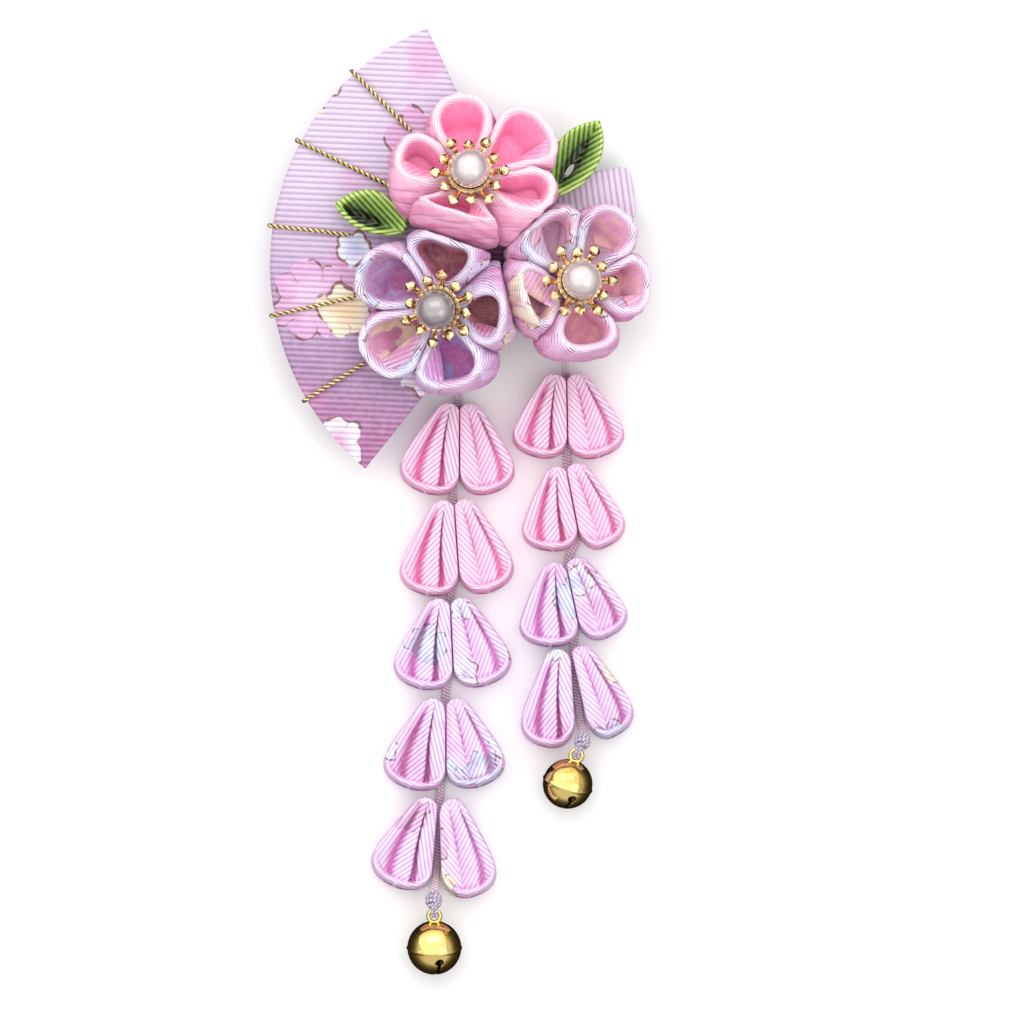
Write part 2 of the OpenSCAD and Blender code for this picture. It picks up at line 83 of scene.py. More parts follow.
def tiltedTo(points, tilt, lean):
    # turns by the tilt t about k, the level axis square to the lean:
    # p cos t + (k x p) sin t + k (k.p)(1 - cos t)
    a, t = math.radians(lean), math.radians(tilt)
    k = np.array([-math.sin(a), math.cos(a), 0])
    along = (points @ k)[..., None] * k
    return points * math.cos(t) + np.cross(k, points) * math.sin(t) + along * (1 - math.cos(t))


def smoothStep(low, high, value):
    # 0 below low, 1 above high, and 3 t^2 - 2 t^3 between
    t = np.clip((value - low) / (high - low), 0, 1)
    return t * t * (3 - 2 * t)


def distance(path):
    # running length along the first axis, from 0
    step = np.linalg.norm(np.diff(path, axis=0), axis=-1)
    return np.concatenate([0 * step[:1], np.cumsum(step, axis=0)])


def splined(keys, counts):
    # Catmull-Rom curve through the keys along the first axis, with counts[i] steps after key i
    keys = np.asarray(keys, float)
    padded = np.concatenate([keys[:1], keys, keys[-1:]])
    parts = []
    for i, count in enumerate(counts):
        t = (np.arange(count) / count).reshape((-1,) + (1,) * (keys.ndim - 1))
        a, b, c, d = padded[i:i + 4]
        square = (2 * a - 5 * b + 4 * c - d) * t ** 2
        parts.append(0.5 * (2 * b + (c - a) * t + square + (3 * b - a - 3 * c + d) * t ** 3))
    return np.concatenate(parts + [keys[-1:]])


def evenly(route, step, fineSteps=12):
    # the route as a Catmull-Rom curve, sampled again at even steps of its length
    fine = splined(route, [fineSteps] * (len(route) - 1))
    far = distance(fine)
    s = np.linspace(0, far[-1], max(2, int(far[-1] / step) + 1))
    return stacked(*(np.interp(s, far, fine[:, k]) for k in range(3))), s


def outward(grid):
    # cross product of the differences along the two directions of a closed skin, turned outwards
    across = np.roll(grid, -1, 1) - np.roll(grid, 1, 1)
    cross = np.cross(across, np.gradient(grid, axis=0))
    return unit(cross) * np.sign(np.sum(cross * (grid - grid.mean((0, 1)))))


def wrapped(values):
    # the first column again at the end, for a map that goes all the way round
    return np.concatenate([values, values[:, :1]], axis=1)


def thereAndBack(top, under):
    # closed rows that run over the top and back under it
    return np.concatenate([top, under[:, ::-1]], axis=1)


def lineCount(x, y, degrees, pitch):
    # straight ribs that run at the angle: the distance square to them, in pitches
    a = np.radians(degrees)
    return (y * np.cos(a) - x * np.sin(a)) / pitch


# Meshes

def makeObject(name, vertices, faces, uvMaps=None, smooth=True):
    # vertices in millimetres, uvMaps as one pair for each face corner
    mesh = bpy.data.meshes.new(name)
    mesh.from_pydata((np.asarray(vertices) * mm).tolist(), [], faces)
    for title, pairs in (uvMaps or {}).items():
        layer = mesh.uv_layers.new(name=title)
        layer.data.foreach_set("uv", np.asarray(pairs, dtype=np.float32).ravel())
    mesh.polygons.foreach_set("use_smooth", [smooth] * len(mesh.polygons))
    piece = bpy.data.objects.new(name, mesh)
    bpy.context.scene.collection.objects.link(piece)
    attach(piece, "root")
    return piece


def dress(name, mesh, slot, *materials, smooth=True):
    # the finished object in place of the CAD piece of its name
    piece = makeObject(name, *mesh, smooth=smooth)
    for material in materials:
        piece.data.materials.append(material)
    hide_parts(name)
    return piece


def signedVolume(vertices, faces):
    # a sum over the triangles of a . (b x c) / 6
    a, b, c = (vertices[faces[:, i]] for i in range(3))
    total = np.sum(a * np.cross(b, c))
    if faces.shape[1] == 4:
        total += np.sum(a * np.cross(c, vertices[faces[:, 3]]))
    return total / 6


def skinMesh(rings, uvMaps, capped=True):
    # skin over rings of equal count. A point in the middle of the first and of the last ring closes it, or
    # else the last ring is joined to the first. The sign of the volume says which way the faces have to
    # point.
    rows, n = rings.shape[:2]
    i = np.arange(n)
    j = (i + 1) % n
    k = np.arange(rows - 1 if capped else rows)[:, None] * n
    nextK = (k + n) % (rows * n)
    vertices = rings.reshape(-1, 3)
    groups = [stacked(k + i, k + j, nextK + j, nextK + i).reshape(-1, 4)]
    maps = {}
    for title, uv in uvMaps.items():
        uv = uv if capped else np.concatenate([uv, uv[:1]])
        corners = [uv[:-1, :-1], uv[:-1, 1:], uv[1:, 1:], uv[1:, :-1]]
        maps[title] = [np.stack(corners, axis=2).reshape(-1, 4, 2)]
    if capped:
        last, top = rows * n + 1, (rows - 1) * n
        vertices = np.concatenate([vertices, rings[0].mean(0)[None], rings[-1].mean(0)[None]])
        groups += [stacked(last - 1, j, i), stacked(last, top + i, top + j)]
        for title, uv in uvMaps.items():
            half = (uv[:, :-1] + uv[:, 1:]) / 2
            maps[title].append(np.stack([half[0], uv[0, 1:], uv[0, :-1]], axis=1))
            maps[title].append(np.stack([half[-1], uv[-1, :-1], uv[-1, 1:]], axis=1))
    if sum(signedVolume(vertices, g) for g in groups) < 0:
        groups = [g[:, ::-1] for g in groups]
        maps = {title: [m[:, ::-1] for m in parts] for title, parts in maps.items()}
    maps = {title: np.concatenate([m.reshape(-1, 2) for m in parts]) for title, parts in maps.items()}
    return vertices, [face for g in groups for face in g.tolist()], maps


def joined(parts):
    # several meshes of vertices, faces and maps as one
    vertices, faces, maps, start = [], [], {}, 0
    for points, polygons, uvMaps in parts:
        vertices.append(points)
        faces += [[start + q for q in polygon] for polygon in polygons]
        for title, uv in uvMaps.items():
            maps.setdefault(title, []).append(uv)
        start += len(points)
    return np.concatenate(vertices), faces, {title: np.concatenate(uvs) for title, uvs in maps.items()}


def sweptRings(path, radii, sides, twist=0.0, waist=0.0, side=axisZ):
    # rings square to the path. With a waist the section is that of two threads twisted round each other:
    # r(a) = b |cos a| + sqrt(c^2 - b^2 sin^2 a), with b the waist and c = 1 - b, turned by the twist at
    # each ring
    way = unit(np.gradient(path, axis=0))
    u = unit(side - way * (way @ side)[:, None])
    a = circle(sides)
    angle = a - np.broadcast_to(twist, len(path))[:, None]
    section = waist * np.abs(np.cos(angle)) + np.sqrt((1 - waist) ** 2 - (waist * np.sin(angle)) ** 2)
    r = np.broadcast_to(radii, len(path))[:, None] * section
    return path[:, None] + r[..., None] * around(a, u, np.cross(way, u))


def tubeUv(rings):
    # u counts round the tube, v is the distance along it in millimetres
    return stacked(np.linspace(0, 1, rings.shape[1] + 1), distance(rings.mean(1))[:, None])


def tubeMesh(rings, capped=True):
    return skinMesh(rings, {"ribs": tubeUv(rings)}, capped)


def lathe(profile, sides):
    # profile of (radius, height) pairs turned round the Z axis
    radius, height = np.asarray(profile, float).T[:, :, None]
    a = circle(sides)
    return stacked(radius * np.cos(a), radius * np.sin(a), height)


# Materials

def tone(code):
    # linear colour of a six-digit sRGB code
    parts = [int(code[i:i + 2], 16) / 255 for i in (0, 2, 4)]
    return tuple(p / 12.92 if p <= 0.04045 else ((p + 0.055) / 1.055) ** 2.4 for p in parts) + (1.0,)


class Nodes:
    # short calls for a node tree. An input is a constant or another node's output.
    def __init__(self, tree):
        self.tree = tree

    def add(self, kind, inputs=None, **settings):
        node = self.tree.nodes.new("ShaderNode" + kind)
        for key, value in settings.items():
            setattr(node, key, value)
        for key, value in (inputs or {}).items():
            if isinstance(value, bpy.types.NodeSocket):
                self.tree.links.new(value, node.inputs[key])
            else:
                node.inputs[key].default_value = value
        return node

    def math(self, operation, a, b=None, c=None):
        inputs = {i: x for i, x in enumerate((a, b, c)) if x is not None}
        return self.add("Math", inputs, operation=operation).outputs[0]

    def times(self, product, *factors):
        for factor in factors:
            product = self.math("MULTIPLY", product, factor)
        return product

    def scaled(self, value, factor, offset):
        return self.math("MULTIPLY_ADD", value, factor, offset)

    def oneLess(self, value):
        return self.math("SUBTRACT", 1.0, value)

    def step(self, value, low, high):
        return self.add("MapRange", {0: value, 1: low, 2: high}, interpolation_type="SMOOTHSTEP").outputs[0]

    def ripple(self, turns):
        # (1 + cos(2 pi turns)) / 2
        return self.scaled(self.math("COSINE", self.times(turns, 2 * math.pi)), 0.5, 0.5)

    def vector(self, operation, a, b):
        factor = 3 if operation == "SCALE" else 1
        return self.add("VectorMath", {0: a, factor: b}, operation=operation).outputs[0]

    def parts(self, vector):
        return self.add("SeparateXYZ", {0: vector}).outputs

    def place(self):
        return self.add("TexCoord").outputs["Object"]

    def uv(self, title):
        return self.add("UVMap", uv_map=title).outputs[0]

    def noise(self, vector, scale, detail, distortion=0.0, kind="3D", output=0):
        inputs = {"Vector": vector, "Scale": scale, "Detail": detail, "Distortion": distortion}
        return self.add("TexNoise", inputs, noise_dimensions=kind).outputs[output]

    def bump(self, height, strength, away, **normal):
        inputs = {"Strength": strength, "Distance": away, "Height": height} | normal
        return self.add("Bump", inputs).outputs[0]

    def mix(self, amount, a, b, blend="MIX"):
        return self.add("Mix", {0: amount, 6: a, 7: b}, data_type="RGBA", blend_type=blend).outputs[2]

    def dyed(self, colour, code):
        return self.mix(1.0, colour, tone(code), "MULTIPLY")

    def ramp(self, value, stops):
        node = self.add("ValToRGB", {0: value})
        items = node.color_ramp.elements
        while len(items) < len(stops):
            items.new(0.5)
        for item, (position, code) in zip(items, stops):
            item.position = position
            item.color = tone(code)
        return node.outputs[0]


def newMaterial(title):
    material = bpy.data.materials.new(title)
    material.use_nodes = True
    material.node_tree.nodes.clear()
    return material, Nodes(material.node_tree)


def finishMaterial(material, n, colour, roughness, sockets):
    shader = n.add("BsdfPrincipled", {"Base Color": colour, "Roughness": roughness} | sockets)
    n.add("OutputMaterial", {0: shader.outputs[0]})
    return material


printTable = {
    # loose motifs in layers: how many cells to a centimetre, lobes, radius in cm and its spread, share of
    # the cells left empty, and the tones from the middle to the edge
    "clouds": dict(cells=0.42, lobes=7, radius=0.72, spread=0.3, empty=0.5, shift=(3.1, 7.7, 0), fills=(
        ("E6ECFA", "C6D4F0"), ("F8F2DC", "F6ECC0"), ("ECC8E4", "E0ACD6"))),
    "blossoms": dict(cells=0.5, lobes=5, radius=0.46, spread=0.22, empty=0.6, shift=(12.4, 2.3, 0), fills=(
        ("F0A8D0", "FAF0F8"), ("F4D8A8", "F8F0D0"), ("C8CCF0", "F0F2FC")))}
printInk = dict(
    # noises: scale and detail. Steps: where they begin and end on a noise, or on the ratio of the distance
    # to the edge
    blotTone="E490C8", blotNoise=(0.7, 1.0), blotShift=(5.2, 1.3, 0), blotStep=(0.56, 0.76), blotShare=0.5,
    wobble=0.36, wobbleNoise=(1.6, 2.0), holeNoise=(3.0, 2.0), holeStep=(0.44, 0.52), randomness=0.8,
    turn=9.0, lobeDeep=0.24, kindTurn=7.3, kindFrom=(0.46, 0.68), edge=0.01, fillFade=(0.1, 0.8),
    fillEnd=(0.97, 1.0), fillShare=0.9, lineTone="7C4434", lineWide=0.042, lineAt=0.96, lineShare=0.85,
    foldNear=(0.0, 0.14), foldStart=(0.45, 0.55), foldEnd=(0.9, 1.0), foldShare=0.7)


def laidOver(n, colour, mask, amount, over):
    # puts a tone over the print so far, and the mask grows to the larger of the two
    grown = n.math("MAXIMUM", mask, amount)
    return n.mix(n.math("DIVIDE", amount, n.math("MAXIMUM", grown, faint)), colour, over), grown


def motifLayers(n, drawn, holes, density, t):
    # the fill and the line of one kind of motif, in the cells of a Voronoi pattern. A motif's edge is at
    # radius * (0.76 + 0.24 |cos(lobes a / 2)|).
    ink = printInk
    moved = n.vector("ADD", drawn, t["shift"])
    inputs = {"Vector": moved, "Scale": t["cells"], "Randomness": ink["randomness"]}
    cell = n.add("TexVoronoi", inputs, voronoi_dimensions="2D")
    away = n.vector("SUBTRACT", moved, cell.outputs["Position"])
    x, y = n.parts(away)[:2]
    first, second, third = n.add("SeparateColor", {0: cell.outputs["Color"]}).outputs[:3]
    angle = n.scaled(n.math("ARCTAN2", y, x), t["lobes"] / 2, n.times(second, ink["turn"]))
    lobe = n.math("ABSOLUTE", n.math("COSINE", angle))
    radius = n.scaled(third, t["spread"], t["radius"] - t["spread"] / 2)
    reach = n.add("VectorMath", {0: away}, operation="LENGTH").outputs["Value"]
    edge = n.times(n.scaled(lobe, ink["lobeDeep"], 1 - ink["lobeDeep"]), radius)
    ratio = n.math("DIVIDE", reach, edge)
    chosen = n.step(n.math("ADD", first, density), t["empty"], t["empty"] + ink["edge"])
    kind = n.math("FRACT", n.times(second, ink["kindTurn"]))
    fade = n.step(ratio, *ink["fillFade"])
    fills = [n.mix(fade, tone(middle), tone(rim)) for middle, rim in t["fills"]]
    fill = fills[0]
    for blended, start in zip(fills[1:], ink["kindFrom"]):
        fill = n.mix(n.step(kind, start, start + ink["edge"]), fill, blended)
    inside = n.times(chosen, ink["fillShare"], n.oneLess(n.step(ratio, *ink["fillEnd"])))
    thin = n.math("DIVIDE", ink["lineWide"], radius)
    nearEdge = n.math("ABSOLUTE", n.math("SUBTRACT", ratio, ink["lineAt"]))
    rim = n.oneLess(n.step(nearEdge, n.times(thin, 0.5), thin))
    reached = n.math("SUBTRACT", n.step(ratio, *ink["foldStart"]), n.step(ratio, *ink["foldEnd"]))
    fold = n.times(n.oneLess(n.step(lobe, *ink["foldNear"])), reached, ink["foldShare"])
    line = n.times(n.math("MAXIMUM", rim, fold), chosen, holes, ink["lineShare"])
    return (inside, fill), (line, tone(ink["lineTone"]))


def buildPrintGroup():
    # generic print in centimetres: soft blots, then the motifs, shaken by noise, and where it is printed
    ink = printInk
    tree = bpy.data.node_groups.new("blossomPrint", "ShaderNodeTree")
    for title, side, kind in (("Flat", "INPUT", "Vector"), ("Density", "INPUT", "Float"),
                              ("Colour", "OUTPUT", "Color"), ("Mask", "OUTPUT", "Float")):
        tree.interface.new_socket(title, in_out=side, socket_type="NodeSocket" + kind)
    n = Nodes(tree)
    flat, density = tree.nodes.new("NodeGroupInput").outputs[:2]
    shaky = n.vector("SUBTRACT", n.noise(flat, *ink["wobbleNoise"], kind="2D", output=1), (0.5, 0.5, 0.5))
    drawn = n.vector("ADD", flat, n.vector("SCALE", shaky, ink["wobble"]))
    holes = n.step(n.noise(flat, *ink["holeNoise"], kind="2D"), *ink["holeStep"])
    blots = n.noise(n.vector("ADD", flat, ink["blotShift"]), *ink["blotNoise"], kind="2D")
    mask = n.times(n.step(blots, *ink["blotStep"]), ink["blotShare"])
    colour = tone(ink["blotTone"])
    for motif in printTable.values():
        for amount, over in motifLayers(n, drawn, holes, density, motif):
            colour, mask = laidOver(n, colour, mask, amount, over)
    out = tree.nodes.new("NodeGroupOutput")
    tree.links.new(colour, out.inputs[0])
    tree.links.new(mask, out.inputs[1])
    return tree


printGroup = buildPrintGroup()
# painted shade on the print: darker low on the outer wall and deep in the hollow, untouched on the edge
printShade = [(0.0, "D8BCD0"), (0.3, "F0E4F0"), (0.5, "FFFFFF"), (0.6, "F6E4EE"), (0.72, "E4BCCE"),
              (1.0, "C896AE")]
grain = dict(
    # scale and detail of the noises, then where each layer begins and ends: on its noise, on the height of
    # a rib or on the place across the fold
    uneven=(900.0, 2.0), fine=(5200.0, 1.0), patches=(210.0, 3.0, 0.6), slow=(330.0, 1.0), folds=(1.0, 1.5),
    hollowOver=0.08, outsideTo=(0.3, 0.46), grooveTo=(0.02, 0.5), crestFrom=(0.7, 1.0),
    paleFrom=(0.35, 0.75), pale=0.08, patchFrom=(0.46, 0.6), patchZone=(0.6, 0.64), foldFrom=(0.4, 0.66),
    foldZone=(0.34, 0.48), foldTurn=-38, foldScale=(0.7, 4.5, 1.0), foldTone="E0A0C0", fringeAt=0.47,
    fringeNear=(0.02, 0.08), fringeFrom=(0.38, 0.6), fringeTone="FFFAFF", strokeFrom=(0.57, 0.64),
    strokeLow=(0.05, 0.4), strokeStart=(0.25, 0.4), strokeEnd=(0.56, 0.62), strokeTone="5C3C54",
    rough=(0.2, 0.5), sheenRough=0.4, bump=(0.25, 0.00006), foldBump=(0.7, 0.0003))
plainRibbon = dict(
    printed=0.0, density=0.0, hollowPrint=1.0, shaded=True, outer=1.0, hollowFrom=0.56, crestTone="FFFFFF",
    ribMap=False, fringe=0.0, strokes=0.0, patches=None, mottle=0.0, sheen=0.2, gloss=0.3)


def withPatches(n, colour, zone, place, code, share):
    # a second tone in loose patches inside the fold
    loose = n.step(n.noise(place, *grain["patches"]), *grain["patchFrom"])
    return n.mix(n.times(loose, n.step(zone, *grain["patchZone"]), share), colour, tone(code))


def withPrint(n, colour, zone, inHollow, t):
    # the print, shaded across the fold, by its share outside and by another in the hollow
    group = n.add("Group", {0: n.uv("print"), 1: t["density"]}, node_tree=printGroup)
    drawn = group.outputs[0]
    if t["shaded"]:
        drawn = n.mix(1.0, drawn, n.ramp(zone, printShade), "MULTIPLY")
    share = n.scaled(inHollow, (t["hollowPrint"] - 1) * t["printed"], t["printed"])
    return n.mix(n.times(group.outputs[1], share), colour, drawn)


def withRibs(n, colour, zone, inHollow, high, groove, t):
    # darker between two ribs and paler on them, where the ribs are seen: painted shade in the grooves and
    # a painted highlight on the crests
    outside = n.scaled(n.step(zone, *grain["outsideTo"]), 1 - t["outer"], t["outer"])
    seen = n.times(n.scaled(inHollow, t["hollow"] - 1, 1.0), outside)
    if t["ribMap"]:
        seen = n.times(seen, n.parts(n.uv("seen"))[0])
    low = n.times(n.oneLess(n.step(high, *grain["grooveTo"])), seen, t["ribDark"])
    colour = n.mix(low, colour, n.dyed(colour, groove))
    return n.mix(n.times(n.step(high, *grain["crestFrom"]), seen, t["crest"]), colour, tone(t["crestTone"]))


def withFolds(n, colour, zone, share):
    # painted shade along diagonal folds outside, darker there, and their height for the bump
    turn = (0, 0, math.radians(grain["foldTurn"]))
    inputs = {"Vector": n.uv("print"), "Rotation": turn, "Scale": grain["foldScale"]}
    flat = n.add("Mapping", inputs).outputs[0]
    folds = n.times(n.step(n.noise(flat, *grain["folds"], kind="2D"), *grain["foldFrom"]),
                    n.oneLess(n.step(zone, *grain["foldZone"])))
    return n.mix(n.times(folds, share), colour, n.dyed(colour, grain["foldTone"])), folds


def withFringe(n, colour, zone, fine, share):
    # white fuzz along the edge of the fold
    near = n.step(n.math("ABSOLUTE", n.math("SUBTRACT", zone, grain["fringeAt"])), *grain["fringeNear"])
    amount = n.times(n.oneLess(near), n.step(fine, *grain["fringeFrom"]), share)
    return n.mix(amount, colour, tone(grain["fringeTone"]))


def withStrokes(n, colour, zone, place, high, share):
    # dark lines of the print that lie in the grooves near the edge
    slow = n.step(n.noise(place, *grain["slow"]), *grain["strokeFrom"])
    band = n.math("SUBTRACT", n.step(zone, *grain["strokeStart"]), n.step(zone, *grain["strokeEnd"]))
    amount = n.times(slow, n.oneLess(n.step(high, *grain["strokeLow"])), band, share)
    return n.mix(amount, colour, tone(grain["strokeTone"]))


def ribbonMaterial(title, zones, groove, **given):
    # grosgrain. The map "ribs" gives the count of ribs and the place across the fold, 0 outside, 0.5 on its
    # edge and 1 in the hollow. zones are the colours across the fold; on a fold, the darker ones low on
    # the outer wall and deep in the hollow are painted shade. The groove's tone darkens by the share
    # ribDark between two ribs, painted shade, and crest whitens the ribs, a painted highlight. hollow and
    # outer are the shares of the ribs seen there.
    t = plainRibbon | given
    material, n = newMaterial(title)
    count, zone = n.parts(n.uv("ribs"))[:2]
    high = n.ripple(count)
    place = n.place()
    uneven, fine = n.noise(place, *grain["uneven"]), n.noise(place, *grain["fine"])
    inHollow = n.step(zone, t["hollowFrom"], t["hollowFrom"] + grain["hollowOver"])
    colour = n.ramp(zone, zones)
    if t["patches"]:
        colour = withPatches(n, colour, zone, place, *t["patches"])
    if t["printed"]:
        colour = withPrint(n, colour, zone, inHollow, t)
    colour = withRibs(n, colour, zone, inHollow, high, groove, t)
    colour = n.mix(n.times(n.step(uneven, *grain["paleFrom"]), grain["pale"]), colour, tone("FFFFFF"))
    normal = {}
    # painted shade along loose folds on the outside, with a bump
    if t["mottle"]:
        colour, folds = withFolds(n, colour, zone, t["mottle"])
        normal["Normal"] = n.bump(folds, *grain["foldBump"])
    if t["fringe"]:
        colour = withFringe(n, colour, zone, fine, t["fringe"])
    if t["strokes"]:
        colour = withStrokes(n, colour, zone, place, high, t["strokes"])
    return finishMaterial(material, n, colour, n.scaled(uneven, *grain["rough"]), {
        "Normal": n.bump(fine, *grain["bump"], **normal), "Sheen Weight": t["sheen"],
        "Sheen Roughness": grain["sheenRough"], "Specular IOR Level": t["gloss"]})


metalTable = dict(detail=3.0, tarnish=(0.45, 0.75), spread=0.8, least=0.6, bump=(0.15, 0.00002))
threadTable = dict(stripes=2.0, uneven=(1500.0, 2.0), least=0.4, bump=(0.5, 0.00008))
pearlTable = dict(cloudy=(260.0, 2.0), clouds=(0.35, 0.7), bump=(0.05, 0.00002), rough=0.22, coat={
    "Metallic": 0.4, "Coat Weight": 1.0, "Coat Roughness": 0.16, "Coat IOR": 1.6, "Specular IOR Level": 1.0})


def metalMaterial(title, colour, dark, roughness, wear=500.0):
    # metal with a little uneven polish and darker tarnish in patches
    t = metalTable
    material, n = newMaterial(title)
    cloudy = n.noise(n.place(), wear, t["detail"])
    tint = n.mix(n.step(cloudy, *t["tarnish"]), tone(colour), tone(dark))
    rough = n.scaled(cloudy, roughness * t["spread"], roughness * t["least"])
    return finishMaterial(material, n, tint, rough, {"Normal": n.bump(cloudy, *t["bump"]), "Metallic": 1.0})


def threadMaterial(title, pale, dark, metallic=0.0, roughness=0.7, perTurn=1.6):
    # twisted thread: fine stripes that run round the cord, from the map "ribs", u round it and v along
    # it. The dark tone between the stripes is painted shade in the grooves of the twist.
    t = threadTable
    material, n = newMaterial(title)
    turn, along = n.parts(n.uv("ribs"))[:2]
    high = n.ripple(n.scaled(along, perTurn, n.times(turn, t["stripes"])))
    uneven = n.noise(n.place(), *t["uneven"])
    colour = n.mix(n.times(high, n.math("ADD", uneven, t["least"])), tone(dark), tone(pale))
    sockets = {"Normal": n.bump(high, *t["bump"]), "Metallic": metallic}
    return finishMaterial(material, n, colour, roughness, sockets)


def pearlMaterial(title, pale, dark):
    # imitation pearl: a lustrous body with faint clouds, under a clear coat
    t = pearlTable
    material, n = newMaterial(title)
    cloudy = n.noise(n.place(), *t["cloudy"])
    body = n.mix(n.step(cloudy, *t["clouds"]), tone(pale), tone(dark))
    return finishMaterial(material, n, body, t["rough"], {"Normal": n.bump(cloudy, *t["bump"])} | t["coat"])


# tones across the fold: the darker tones low on the outer wall and deep in the hollow are painted shade
pinkZones = [(0.0, "C8789E"), (0.22, "DC92B6"), (0.40, "F0B4CE"), (0.50, "FAD2E4"), (0.575, "F8C0DA"),
             (0.605, "F48CB8"), (0.8, "F47EB0"), (1.0, "F694C0")]
rimOfLeft = [(0.0, "A8649C"), (0.22, "C48ABC"), (0.40, "DCC0E8"), (0.50, "ECE0FA"), (0.575, "D8B4E0")]
leftInside = dict(
    # tones inside the fold at 0.61, 0.8 and 1, tone and share of the patches, and share of the print in the
    # hollow
    deep=("AC5480", "9C4668", "883858", ("B07460", 0.4), 0.1),
    violet=("BC74B0", "A868B4", "B85C9C", ("A4A4E0", 0.75), 0.3),
    dusty=("D08CB0", "BC7098", "A85884", ("F0DEB4", 0.6), 0.5),
    mauve=("B474A0", "B07CB4", "9C4C80", ("B4A0D0", 0.7), 0.2))
rightZones = [(0.0, "BC6C9C"), (0.22, "D08CB4"), (0.40, "E2B4DA"), (0.50, "F2DCF6"), (0.575, "E8B8DC"),
              (0.61, "E6A4C4"), (0.8, "DA90B2"), (1.0, "CE869E")]
dropPinkZones = [(0.0, "E898C4"), (0.25, "F2AED4"), (0.40, "F6C0E0"), (0.5, "F8CAE6"), (0.66, "F6B6DC"),
                 (0.85, "F084BE"), (1.0, "D8508F")]
dropPrintZones = [(0.0, "D4A0D4"), (0.25, "E2B4E2"), (0.40, "EEC8EE"), (0.5, "F2D2F2"), (0.66, "ECB8E6"),
                  (0.85, "E088CC"), (1.0, "B8509C")]
# the leaf's tones: darker on its foot and nearly black towards the slot, painted shade
leafZones = [(0.0, "4A7420"), (0.25, "729E36"), (0.42, "A8CC58"), (0.5, "C4E078"), (0.62, "90B84A"),
             (0.76, "5C8428"), (0.88, "2C440E"), (1.0, "0C1604")]
# the fan's tones by its zone; the darkest, 3C1C34, is a painted shadow close to the flowers
fanZones = [(0.0, "3C1C34"), (0.06, "B06498"), (0.25, "AE88AE"), (0.55, "BC9ABE"), (0.8, "D0B8D6"),
            (1.0, "DCCAE2")]


def leftRibbon(kind):
    *codes, patches, hollowPrint = leftInside[kind]
    return ribbonMaterial(
        f"printed grosgrain, {kind} inside", rimOfLeft + list(zip((0.61, 0.8, 1.0), codes)), "8C80A8",
        printed=1.0, ribDark=0.45, crest=0.35, hollow=0.14, outer=0.7, density=0.3, fringe=0.45,
        strokes=0.75, hollowPrint=hollowPrint, patches=patches, mottle=0.3)


pinkRibbon = ribbonMaterial(
    "pink grosgrain", pinkZones, "B8A4BC", ribDark=0.4, crest=0.34, hollow=0.08, outer=0.1, fringe=0.5,
    mottle=0.45)
leftRibbons = {kind: leftRibbon(kind) for kind in leftInside}
rightPrint = ribbonMaterial(
    "printed grosgrain of the right flower", rightZones, "9890B0", printed=1.0, ribDark=0.4, crest=0.35,
    hollow=0.14, outer=0.5, density=0.34, fringe=0.35, strokes=0.75, hollowPrint=0.6,
    patches=("F0CCB4", 0.45), mottle=0.4)
dropPink = ribbonMaterial(
    "pink grosgrain of the strands", dropPinkZones, "A0A8BC", ribDark=0.6, crest=0.4, hollow=0.4,
    hollowFrom=0.74, ribMap=True)
dropPrint = ribbonMaterial(
    "printed grosgrain of the strands", dropPrintZones, "A0A4C4", printed=0.9, ribDark=0.6, crest=0.4,
    hollow=0.4, hollowFrom=0.74, density=0.28, ribMap=True)
fanPrint = ribbonMaterial(
    "printed fan grosgrain", fanZones, "A8A0B8", printed=1.0, ribDark=0.5, crest=0.12, hollow=1.0,
    shaded=False, density=0.14)
paleRibbon = ribbonMaterial(
    "pale grosgrain", [(0.0, "DCC4DE"), (1.0, "E4D2E8")], "B0A0B8", ribDark=0.6, crest=0.15, hollow=1.0)
greenRibbon = ribbonMaterial(
    "green leaf ribbon", leafZones, "34580C", ribDark=0.75, crest=0.3, hollow=0.6, sheen=0.0, hollowFrom=0.76,
    gloss=0.1, crestTone="E4F4A4")
goldThread = threadMaterial(
    "twisted gold thread", "FFEAA8", "542C08", metallic=0.55, roughness=0.22, perTurn=-2 / 2.3)
lilacThread = threadMaterial("twisted lilac thread", "F4E2EA", "A88C9C")
# a darker copy of the lilac thread for the knot: painted shade
shadedKnotThread = threadMaterial("lilac thread with painted shade on the knot", "DED2E2", "8C7C98")
castGold = metalMaterial("cast gold plate", "FCE6B6", "B07428", roughness=0.1, wear=900.0)
# a dark gold for the recesses of the stamens: painted shade
recessShadeGold = metalMaterial("gold with painted shade in the recesses", "7A4818", "502C0C", roughness=0.35, wear=700.0)
bellBrass = metalMaterial("polished bell brass", "FAE08C", "E4B458", roughness=0.09, wear=260.0)
# the bells' inner wall is darker brass: painted shade inside them
bellInsideShade = metalMaterial("brass with painted shade inside the bells", "5A4018", "3A280C", roughness=0.5)
nickel = metalMaterial("nickel plated steel", "C4C6CA", "A4A6AA", roughness=0.3)
pearlLustre = pearlMaterial("pearl lustre", "E6D6D4", "D4C2C6")
# a darker copy of the pearl lustre for the left pearl: painted shade
shadedPearl = pearlMaterial("pearl lustre with painted shade", "A69C9E", "908688")
print("materials ready")


# Camera and light

cameraTable = dict(pixel=0.19, pivotX=502, pivotY=211, side=1024, lens=380.0, sensor=36.0, sharpHeight=11.0)


